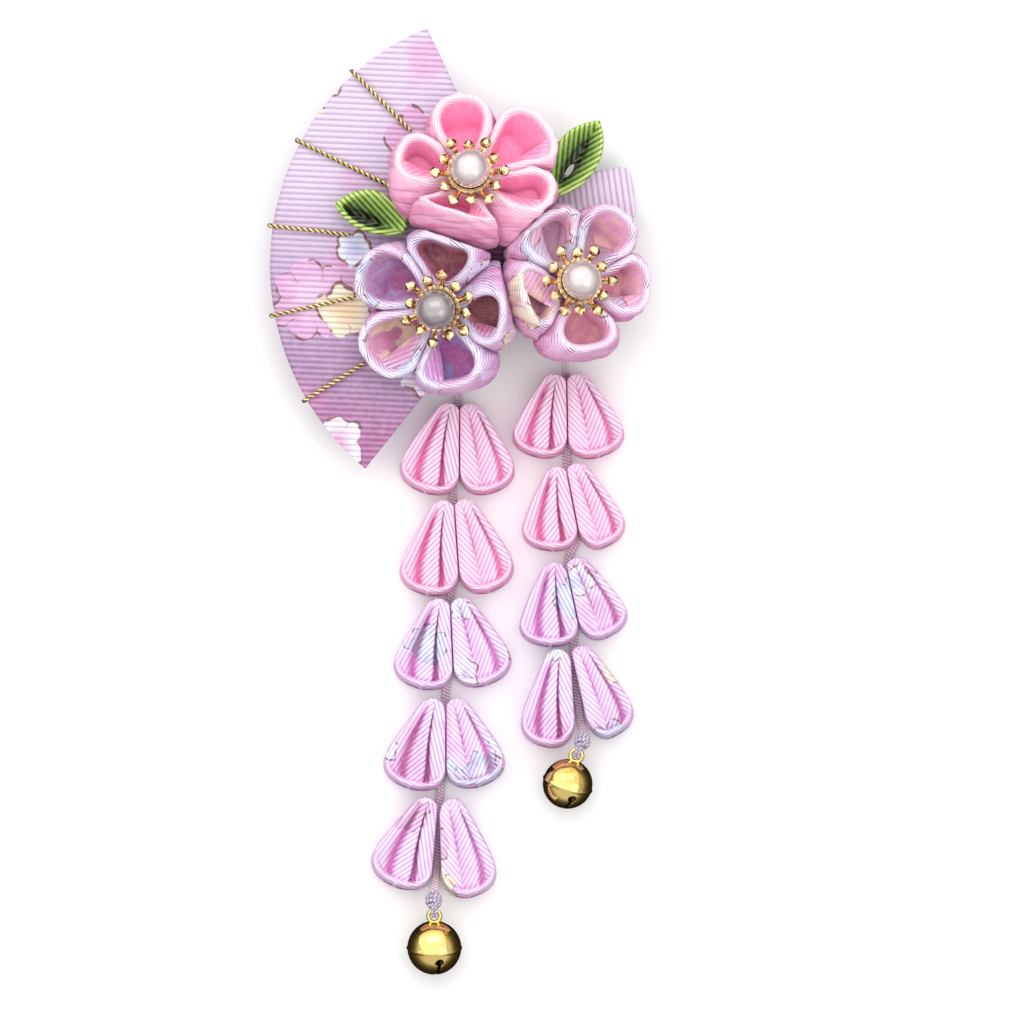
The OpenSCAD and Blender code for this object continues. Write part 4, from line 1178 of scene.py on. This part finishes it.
foldTable = dict(
    # where the folds lie across the petal at its tip and how they move down it, their depths, then for the
    # strip outside, between and inside them the direction of the ribs and how they show, and how much
    # painted shade the slit, the valley, the crease and the tongue get
    a=dict(first=(0.27, 0.05, 1), second=(0.50, 0.24, 0.7), lobe=2.1, tongue=0.25, slit=1.8, rim=0.7,
           leans=(73, 53, -62), shows=(0.85, 1.0, 1.0), slowRise=0.3, slowFrom=0.05, steepFrom=0.6,
           lobeTo=0.12, slitOpen=(0.006, 0.06, 2.4), slitShift=0.4, slitEdge=(0.6, 1.2, 0.014),
           slitDown=(0.0, 0.15), darkAt=2.7, slitPaler=0.35, palerDown=(0.5, 0.9)),
    b=dict(first=(0.21, 0.03, 1), second=(0.62, 0.04, 1), outerRim=0.5, valley=1.5, crease=0.5, tongue=0.9,
           innerRim=0.6, leans=(-46, 54, -58), shows=(1.0, 0.85, 0.85), valleyShift=0.03,
           valleyOpen=(0.025, 0.05, 2), creaseWide=0.022, creaseDown=(0.35, 0.8), tongueLow=0.35,
           tongueFrom=0.1, darkFrom=0.15, tongueDark=0.25, valleyDark=0.75, creaseDark=0.6))
leftPairs = [
    # top of the pair, lean, opening between its petals, then tip, tilt and length of petal a and of petal b
    (-8.1, -36.5, 0, 0, 1.5, 14.5, 17.9, 1.6, 10, 17.8), (-9.2, -54.9, 4, 0, 1.6, 13, 18.5, 1.5, 10, 18.6),
    (-9.9, -73.7, 2.5, 0, 1.8, 13, 17.7, 1.5, 13.5, 17.6),
    (-10.7, -92.8, 0, 0, 2.0, 14.5, 18.0, 1.5, 14, 17.6),
    (-12.1, -111.8, -1.5, 2.2, 1.7, 18.5, 18.3, 2.4, 9.5, 19.3)]
rightPairs = [
    (12.3, -30.9, 1, 0, 2.0, 9, 16.3, 1.7, 12, 16.6), (12.1, -48.3, 11, 0, 1.5, 12, 16.2, 1.7, 3.5, 17.1),
    (12.0, -66.4, 12, 0, 2.0, 12.5, 16.2, 1.7, 6, 16.5), (13.0, -83.0, 8, 2.9, 2.3, 10, 19.0, 1.5, 9, 18.7)]


def powered(f, start, more, power):
    # grows down the petal as start + more f^power
    return start + more * f ** power


def dropEdges(f, tip, tilt, length, opening):
    # places of the outer and of the inner edge. The outer one closes below as sqrt(1 - f^power), the inner
    # one rounds off towards the lowest point as (1 - s^m)^(1/m), and both narrow at the tip
    t = dropTable
    a = math.radians(tilt)
    spread = powered(f, *t["spread"])
    outer = -t["half"] * np.sqrt(np.maximum(0, 1 - f ** t["endPower"])) * spread
    line = (tip + f * length * math.sin(a) - (t["gap"] + f * opening) / 2) / math.cos(a)
    inner = np.minimum(t["half"] * spread * t["innerMost"], line)
    s = np.clip((f - t["roundFrom"]) / (1 - t["roundFrom"]), 0, 1)
    roundedOff = np.maximum(0, 1 - s ** t["roundness"]) ** (1 / t["roundness"])
    inner = t["lowest"] + (inner - t["lowest"]) * roundedOff
    near = np.sqrt(np.clip(1 - (1 - f / t["narrowTo"]) ** 2, t["narrowLeast"], 1))
    narrow = np.where(f < t["narrowTo"], near, 1.0)
    middle = (outer + inner) / 2
    outer = np.minimum(middle + (outer - middle) * narrow, t["lowest"] - t["least"])
    return outer, middle + (inner - middle) * narrow


def bowed(p, low, high, deep):
    # a rim between low and high that sinks to both sides: deep (2 (p - (low + high) / 2) / (high - low))^2
    return deep * (2 * (p - (low + high) / 2) / (high - low)) ** 2


def inStrips(p, first, second, values):
    return np.where(p < first, values[0], np.where(p < second, values[1], values[2]))


def foldsOfA(p, f, first, second, t):
    # a deep lobe outside, a tongue between, and a slit that widens downwards beside the rim
    slow = t["slowRise"] * smoothStep(t["slowFrom"], first, p)
    rising = slow + (1 - t["slowRise"]) * smoothStep(t["steepFrom"] * first, first, p) ** 2
    tongue = t["lobe"] * (1 - smoothStep(first, first + t["lobeTo"], p)) + t["tongue"] * (1 - p)
    slitHalf = powered(f, *t["slitOpen"])
    fromSlit = np.abs(p - second - t["slitShift"] * slitHalf)
    sharp, soft, more = t["slitEdge"]
    slit = 1 - smoothStep(slitHalf * sharp, slitHalf * soft + more, fromSlit)
    depth = inStrips(p, first, second, (t["lobe"] * rising, tongue, bowed(p, second, 1, t["rim"])))
    depth = depth + t["slit"] * slit * smoothStep(*t["slitDown"], f)
    # painted shade: darker where the folds are deeper, and darkest in the slit, less so lower down
    slitDark = slit * (1 - t["slitPaler"] * smoothStep(*t["palerDown"], f))
    return depth, np.where(p < second, depth / t["darkAt"], 0) + slitDark


def foldsOfB(p, f, first, second, t):
    # a rim outside, a valley that widens downwards, a tongue that sinks, and a crease that fades downwards
    valley = np.exp(-((p - first - t["valleyShift"]) / powered(f, *t["valleyOpen"])) ** 2)
    crease = np.exp(-((p - second) / t["creaseWide"]) ** 2) * (1 - smoothStep(*t["creaseDown"], f))
    tongue = t["tongueLow"] + t["tongue"] * smoothStep(first + t["tongueFrom"], second, p)
    rims = bowed(p, 0, first, t["outerRim"]), bowed(p, second, 1, t["innerRim"])
    depth = inStrips(p, first, second, (rims[0], tongue, rims[1]))
    depth = depth + t["valley"] * valley + t["crease"] * crease
    # painted shade on the tongue, darker towards the crease, and in the valley and the crease
    dark = t["tongueDark"] * smoothStep(first + t["darkFrom"], second, p)
    dark = np.where((p > first) & (p < second), dark, 0)
    return depth, dark + t["valleyDark"] * valley + t["creaseDark"] * crease


def dropFolds(p, f, side):
    # depth of the folds below the rim, how far each point is in a hollow, which sets its painted shade, the
    # direction of the ribs and how they show. p runs from the outer edge, 0, to the edge at the cord, 1.
    t = foldTable[side]
    first, second = powered(f, *t["first"]), powered(f, *t["second"])
    depth, hollow = (foldsOfA if side == "a" else foldsOfB)(p, f, first, second, t)
    leans, shows = (inStrips(p, first, second, t[key]) for key in ("leans", "shows"))
    return depth, np.clip(hollow, 0, 1), leans, shows


def pastWall(e, slope, span):
    # rises from 0 to 1 in the span past the top of the wall
    return smoothStep(slope + span[0], slope + span[1], e)


def dropZone(f, e, slope, hollow):
    # place across the fold, which sets the colour: low on the wall, 0.5 on the rim, more in a hollow and
    # behind the lower lip, where the darker colours are painted shade
    t = dropTable
    begin, end = t["rimAway"]
    zone = t["outerZone"] + t["rimZone"] * smoothStep(slope * begin, slope + end, e)
    deeper = t["hollowZone"] * hollow * smoothStep(*t["hollowDown"], f)
    zone = zone + deeper * smoothStep(*t["hollowOver"], zone)
    behindLip = pastWall(e, slope, t["lipShadeStart"]) * (1 - pastWall(e, slope, t["lipShadeEnd"]))
    behindLip = behindLip * smoothStep(*t["lipShadeDown"], f)
    shaded = t["outerZone"] + t["rimZone"] + t["lipShade"] * behindLip
    return np.where(behindLip > 0, np.maximum(zone, shaded), zone)


def dropSurface(tip, tilt, length, opening, side):
    # a height over the plan: f runs down the petal from its tip, p across it, and e is the distance to its
    # outline. z = foot + (rim - foot - folds) * wall, with wall = sin(pi/2 * e / slope)^power and 1 inside,
    # and the ribs on it. The underside is flat, and rises as a channel for the cord under the edge beside it.
    t = dropTable
    span, power, nearEnd = t["rows"]
    f = (1 - np.linspace(0.0, span, t["along"]) ** power * span)[:, None]
    f[0] = nearEnd
    outer, inner = dropEdges(f, tip, tilt, length, opening)
    b = np.linspace(0, 1, t["across"])[None, :]
    p = b - t["crowding"] * np.sin(2 * np.pi * b) + 0 * f
    x = f * length + 0 * p
    y = outer + (inner - outer) * p
    outline = np.concatenate([np.hstack([f * length, outer]), np.hstack([f * length, inner])])
    away = np.sqrt(np.min((x[..., None] - outline[:, 0]) ** 2 + (y[..., None] - outline[:, 1]) ** 2, axis=-1))
    e = np.minimum(away, np.minimum(y - outer, inner - y))
    slope = t["wall"] + t["slope"] * smoothStep(*t["slopeDown"], f)
    nearTip = t["tipRim"] + (t["rim"] - t["tipRim"]) * f / t["tipRimTo"]
    high = np.where(f < t["tipRimTo"], nearTip, t["rim"])
    lowEnd = t["endRise"] * (np.maximum(f - t["endFrom"], 0) * t["endSteep"]) ** 2
    low = np.where(f < t["tipLowTo"], t["tipLow"] * (1 - f / t["tipLowTo"]), lowEnd)
    wall = np.sin(np.pi / 2 * np.clip(e / slope, 0, 1)) ** t["wallPower"]
    cup = pastWall(e, slope, t["cupAway"]) * smoothStep(*t["cupDown"], f)
    opened = np.where(f > t["openFrom"], pastWall(e, slope, t["openAway"]), 1.0)
    fade = 1 - smoothStep(*t["fadeDown"], f) * (1 - opened)
    depth, hollow, lean, seen = dropFolds(p, f, side)
    depth = depth * fade * smoothStep(*t["foldsDown"], f) + t["cupDeep"] * cup
    zone = dropZone(f, e, slope, hollow * fade)
    raised = t["channelHigh"] * (1 - smoothStep(*t["channelDown"], f))
    foot = low + (high - low) * raised * smoothStep(*t["channelAcross"], p)
    z = foot + (high - foot) * wall - depth * wall
    phase = lineCount(y if side == "a" else -y, -x, lean, t["ribPitch"])
    onLip = (e < slope + t["lipWide"]) & (f > t["lipFrom"])
    phase = np.where(onLip, t["lipStart"] + (e - slope + t["lipSlant"] * y) / t["lipPitch"], phase)
    less = 1 - t["ribLess"] * smoothStep(*t["ribLessOver"], zone)
    z = z + t["ribHigh"] * smoothStep(*t["ribOver"], zone) * less * ripple(phase)
    part = np.linspace(1, 0, t["under"] + 2)[None, 1:-1]
    channel = (high - low) * raised * np.clip((part - 1 + t["channel"]) / t["channel"], 0, 1)
    under = stacked(f * length, outer + (inner - outer) * part, low + channel)
    rest = np.repeat(phase[:, :1], t["under"], 1)
    least = t["seenLeast"]
    seen = seen * (least + (1 - least) * smoothStep(*t["seenOver"], zone))
    ribs = stacked(np.concatenate([phase, rest], 1), np.concatenate([zone, 0 * rest + t["outerZone"]], 1))
    shown = np.concatenate([seen, 0 * rest + least], 1)
    return np.concatenate([stacked(x, y, z), under], axis=1), ribs, stacked(shown, shown)


def makeDropPetal(name, row, side, material, slot):
    x, y, lean, opening = row[:4]
    tip, tilt, length = row[4:7] if side == "a" else row[7:10]
    grid, ribs, seen = dropSurface(tip, tilt, length, opening, side)
    # length runs down, tilted away from the cord, and petal b is the mirror image across it
    grid = turned(grid, -90 - tilt) - tip * axisX
    if side == "b":
        grid[..., 0] *= -1
    grid = turned(grid, lean) + np.array([x, y, 0])
    flat = printMap(grid, anyShift(), dropTable["printScale"])
    dress(name, skinMesh(grid, {"ribs": wrapped(ribs), "seen": wrapped(seen), "print": flat}), slot, material)


for strand, pairs in (("left", leftPairs), ("right", rightPairs)):
    for i, row in enumerate(pairs):
        material, slot = (dropPrint, "ribbon_print") if i > 1 else (dropPink, "ribbon_pink")
        for side in "ab":
            makeDropPetal(f"{strand}_pair_{i + 1}_{side}", row, side, material, slot)
print("hanging petals made")


# Fan, its gold cords, and the ribbon on the clip

fanTable = dict(
    pivot=(6.1, -8.7), radius=48, growth=3.5, growthPower=0.8, first=115, leaf=19.4, leaves=6, inner=6,
    under=8.0, wall=1.1, crown=0.35, crownPower=0.9, crownFrom=(8, 40), ribPitch=1.1, ribHigh=0.08,
    ribTilt=2.5, rowsPerRib=6, columns=40, arcSamples=600, printShift=(4.0, 9.0), shadeFrom=(-50, 12),
    shadeSlant=0.25, shadeX=30, creaseWide=1.5, creaseDark=0.15, darkest=0.06, flowersFrom=(3, 9),
    underZone=0.8, edgeIn=0.05, flat=(0.052, 0.084))
fanCordTable = dict(
    # where each cord begins on its crease and how far its end swells, then the points of its route: on the
    # swelling and down from it, counted from there, and round the fan's edge, counted from the edge
    starts=((34.6, 1), (30.4, 1.9), (36.4, 1), (36, 1), (39.2, 1)), diameter=0.9, pitch=2.3, waist=0.42,
    gap=0.15, step=0.22, sides=12, swellAt=1.2, swellWide=0.8, taper=0.5, lead=(-1.3, -0.8, 0),
    ease=(0.7, 1.4), corner=(0.1, 0.4), tail=3.5)


def fanEdge(part):
    return fanTable["radius"] + fanTable["growth"] * part ** fanTable["growthPower"]


def makeFan():
    # level rows across the sector. Each row runs from the round edge to the straight ones, over the top and
    # back under. The top rises to a soft crown along the middle of each leaf, and the ribs are waves along y.
    t = fanTable
    px, py = t["pivot"]
    spread = t["leaf"] * t["leaves"]
    part = np.linspace(0, 1, t["arcSamples"])
    a = np.radians(t["first"] + spread * part)
    arcX, arcY = px + fanEdge(part) * np.cos(a), py + fanEdge(part) * np.sin(a)
    ends = a[[0, -1]]
    sideX = [arcX[0], *(px + t["inner"] * np.cos(ends)), arcX[-1]]
    sideY = [arcY[0], *(py + t["inner"] * np.sin(ends)), arcY[-1]]
    rows = int((arcY[0] - arcY[-1]) / t["ribPitch"] * t["rowsPerRib"])
    y = np.linspace(arcY[0] - t["edgeIn"], arcY[-1] + t["edgeIn"], rows)
    left = np.interp(y, arcY[::-1], arcX[::-1])[:, None]
    right = np.interp(y, sideY[::-1], sideX[::-1])[:, None]
    x = left + (right - left) * np.linspace(0, 1, t["columns"])
    y = np.repeat(y[:, None], t["columns"], 1)
    phase = lineCount(x, y, -t["ribTilt"], t["ribPitch"])
    away = np.hypot(x - px, y - py)
    leafPart = (np.degrees(np.arctan2(y - py, x - px)) % 360 - t["first"]) / t["leaf"]
    bulge = np.abs(np.sin(np.pi * leafPart)) ** t["crownPower"]
    crown = t["crown"] * bulge * smoothStep(*t["crownFrom"], away)
    low = t["under"] + crown
    top = low + t["wall"] + t["ribHigh"] * (ripple(phase) - 1)
    grid = thereAndBack(stacked(x, y, top), stacked(x, y, low))
    # the zone picks the tone: darker downwards, with painted shade in the creases
    # and a painted shadow close to the flowers
    crease = np.abs(leafPart - np.round(leafPart)) * math.radians(t["leaf"]) * away
    shade = smoothStep(*t["shadeFrom"], y + t["shadeSlant"] * (x + t["shadeX"]))
    shade = shade * (1 - t["creaseDark"] + t["creaseDark"] * smoothStep(0.0, t["creaseWide"], crease))
    fromFlowers = np.hypot(x - clusterMiddle[0], y - clusterMiddle[1])
    shade = (t["darkest"] + (1 - t["darkest"]) * shade) * smoothStep(*t["flowersFrom"], fromFlowers)
    ribs = stacked(thereAndBack(phase, phase), thereAndBack(shade, 0 * shade + t["underZone"]))
    flat = printMap(grid, np.array(t["printShift"]))
    fan = dress("fan_panel", skinMesh(grid, {"ribs": wrapped(ribs), "print": flat}), "ribbon_fan", fanPrint)


def makeFanCord(i):
    # from its inner end along the crease, over the round edge and under it
    t, fan = fanCordTable, fanTable
    r = t["diameter"] / 2
    start, swell = t["starts"][i - 1]
    over = fan["under"] + fan["wall"] + t["gap"] + r
    under = fan["under"] - t["gap"] - r
    edge = fanEdge(i / fan["leaves"])
    past = edge + t["gap"] + r
    rest = over + r * (swell - 1)
    halfDown, down = start + np.array(t["ease"])
    near, fall = t["corner"]
    route = [(start + x, rest) for x in t["lead"]] + [
        (halfDown, (rest + over) / 2), (down, over), ((start + edge) / 2, over), (edge + near, over),
        (past - near, over - fall), (past, (over + under) / 2), (past - near, under + fall),
        (edge + near, under), (edge - t["tail"], under)]
    path, s = evenly([(x, 0, z) for x, z in route], t["step"])
    radii = r * (1 + (swell - 1) * np.exp(-((s - t["swellAt"]) / t["swellWide"]) ** 2))
    for fromEnd in (s, s[-1] - s):
        radii = radii * (0.5 + 0.5 * smoothStep(0, t["taper"], fromEnd))
    rings = sweptRings(path, radii, t["sides"], 2 * np.pi * s / t["pitch"], t["waist"], side=axisY)
    rings = turned(rings, fan["first"] + fan["leaf"] * i) + np.array([*fan["pivot"], 0])
    dress(f"fan_cord_{i}", tubeMesh(rings), "gold_cord", goldThread)


makeFan()
for i in range(1, 6):
    makeFanCord(i)
print("fan made")

clipRibbonTable = dict(
    length=49, width=9.4, turn=8, top=7.85, wall=0.7, gap=0.15, ribPitch=1.14, ribHigh=0.09, bend=0.7,
    bendSteps=9, corner=2.0, cornerLow=0.75, alongSteps=150, downSteps=30, columns=13, low=1.0, zone=0.8,
    firstAt=4, evenFrom=6, beforeBend=0.2)


def makeClipRibbon():
    # a strip over the clip's arm that turns down round its end: a path along X and down, with ribs across it
    t = clipRibbonTable
    out = t["length"] / 2 + t["gap"]
    half = (t["width"] + 1) / 2
    end, top, r = out + t["wall"], t["top"], t["bend"]
    a = np.linspace(0, np.pi / 2, t["bendSteps"])
    beside = r + t["beforeBend"]
    path = np.concatenate([
        [[-out + t["firstAt"], top]],
        stacked(np.linspace(-out + t["evenFrom"], end - beside, t["alongSteps"]), top),
        stacked(end - r + r * np.sin(a), top - r + r * np.cos(a)),
        stacked(end, np.linspace(top - beside, t["low"], t["downSteps"]))])
    way = unit(np.gradient(path, axis=0))
    inward = stacked(way[:, 1], -way[:, 0])
    phase = distance(path)[:, None] / t["ribPitch"]
    ridge = t["ribHigh"] * (ripple(phase) - 1) / 2
    # the strip's corners are rounded: half - corner (1 - sqrt(1 - near^2))
    above = path[:, 1] > top - t["cornerLow"]
    near = np.clip((path[:, 0] - (end - t["corner"])) / t["corner"], 0, 1) * above
    width = half - t["corner"] * (1 - np.sqrt(np.maximum(0, 1 - near ** 2)))
    width = np.where(path[:, 1] < top - t["cornerLow"], half - t["corner"], width)
    y = width[:, None] * np.linspace(-1, 1, t["columns"])
    upper, lower = path - inward * ridge, path + inward * t["wall"]
    grid = thereAndBack(stacked(upper[:, :1], y, upper[:, 1:]), stacked(lower[:, :1], y, lower[:, 1:]))
    grid = turned(grid[:, ::-1], t["turn"])
    ribs = stacked(np.repeat(phase, grid.shape[1] + 1, 1), t["zone"])
    dress("clip_ribbon", skinMesh(grid, {"ribs": ribs}), "ribbon_pale", paleRibbon)


makeClipRibbon()
print("clip ribbon made")


# Bells

bellTable = {
    # middle, diameter, turn of the loop from +Y, turn of the slot about the bell's axis
    "left_bell": ((-12.9, -140.2), 10.6, 0, 13), "right_bell": ((12.5, -109.0), 9.8, -17, 22)}
bellShape = dict(
    wall=0.45, bead=0.16, seam=0.3, end=0.03, rows=72, sides=96, innerRows=40, innerSides=64, slotWide=0.6,
    slotLong=1.2, slotLow=2.0, hole=0.8, holeAt=68, holeReach=(0.6, 1.3), holeSides=24, rise=12, loop=1.15,
    loopSunk=0.25, wire=0.38, loopSteps=48, wireSides=16, hollowMore=0.05)


def bellShell(r):
    # two pressed half shells that meet in a raised seam, turned round the axis:
    # radius = (shell + bead exp(-(height / seam)^6)) sin b
    t = bellShape
    shell = r - t["bead"]
    b = np.linspace(t["end"], math.pi - t["end"], t["rows"])
    height = -shell * np.cos(b)
    raised = t["bead"] * np.exp(-(np.abs(height) / t["seam"]) ** 6)
    hollow = shell - t["wall"]
    c = np.linspace(math.pi - t["end"], t["end"], t["innerRows"])
    outside = lathe(stacked((shell + raised) * np.sin(b), height), t["sides"])
    inside = lathe(stacked(hollow * np.sin(c), -hollow * np.cos(c)), t["innerSides"])
    return joined([tubeMesh(outside), tubeMesh(inside)])


def bellCutters(r):
    # a box for the slot, across the bottom, and a rod for each of the holes at its ends
    t = bellShape
    a = math.radians(t["holeAt"])
    half, reach = t["slotWide"] / 2, t["slotLong"] * r
    corners = np.array([[x, y, z] for x in (-half, half) for y in (-reach, reach)
                        for z in (-t["slotLow"] * r, -math.cos(a) * r)])
    boxFaces = [[0, 1, 3, 2], [4, 6, 7, 5], [0, 4, 5, 1], [2, 3, 7, 6], [0, 2, 6, 4], [1, 5, 7, 3]]
    cutters = [(corners, boxFaces)]
    for s in (-1, 1):
        rod = lathe([(t["hole"], share * r) for share in t["holeReach"]], t["holeSides"])
        level, way = [0, s * math.cos(a), math.sin(a)], [0, s * math.sin(a), -math.cos(a)]
        cutters.append(tubeMesh(rod @ np.array([axisX, level, way]))[:2])
    return cutters


def bellLoop(r):
    # a ring of wire that stands on the bell
    t = bellShape
    middle = (r + t["loop"] - t["loopSunk"]) * axisZ
    line = middle + t["loop"] * around(circle(t["loopSteps"]), axisX, axisZ)
    wire = line[:, None] + t["wire"] * around(circle(t["wireSides"]), unit(line - middle), axisY)
    return skinMesh(wire, {}, capped=False)


def cutOut(piece, cutter):
    cut = piece.modifiers.new("cut", "BOOLEAN")
    cut.operation, cut.object, cut.solver = "DIFFERENCE", cutter, "EXACT"
    bpy.context.view_layer.objects.active = piece
    bpy.ops.object.modifier_apply(modifier="cut")
    bpy.data.objects.remove(cutter)


def makeBell(name, at, diameter, turn, slotTurn):
    t = bellShape
    r = diameter / 2
    bell = makeObject(name, *bellShell(r))
    for i, (corners, sides) in enumerate(bellCutters(r)):
        cutOut(bell, makeObject(f"{name}_cutter_{i}", turned(corners, slotTurn), sides))
    points = np.empty(len(bell.data.vertices) * 3)
    bell.data.vertices.foreach_get("co", points)
    polygons = [list(face.vertices) for face in bell.data.polygons]
    bpy.data.objects.remove(bell)
    vertices, faces = joined([(points.reshape(-1, 3) / mm, polygons, {}), bellLoop(r)])[:2]
    # the axis lies down until it rises by a few degrees: y' = y cos a - z sin a, z' = y sin a + z cos a
    a = math.radians(-90 + t["rise"])
    x, y, z = vertices.T
    vertices = stacked(x, y * math.cos(a) - z * math.sin(a), y * math.sin(a) + z * math.cos(a))
    middle = np.array([*at, r])
    bell = dress(name, (turned(vertices, turn) + middle, faces), "bell_brass", bellBrass, bellInsideShade)
    # the inner wall, within the hollow's radius and a little more, is dull and dark: painted shade
    # inside the bell
    hollow = r - t["bead"] - t["wall"] + t["hollowMore"]
    for face in bell.data.polygons:
        face.material_index = int(np.linalg.norm(np.array(face.center) / mm - middle) < hollow)


for name, row in bellTable.items():
    makeBell(name, *row)
print("bells made")


# CAD pieces that stay, with a finish of their own

for name in ("clip", "left_bell_ball", "right_bell_ball"):
    for materialSlot in bpy.data.objects[name].material_slots:
        materialSlot.material = nickel
print("kept pieces finished")
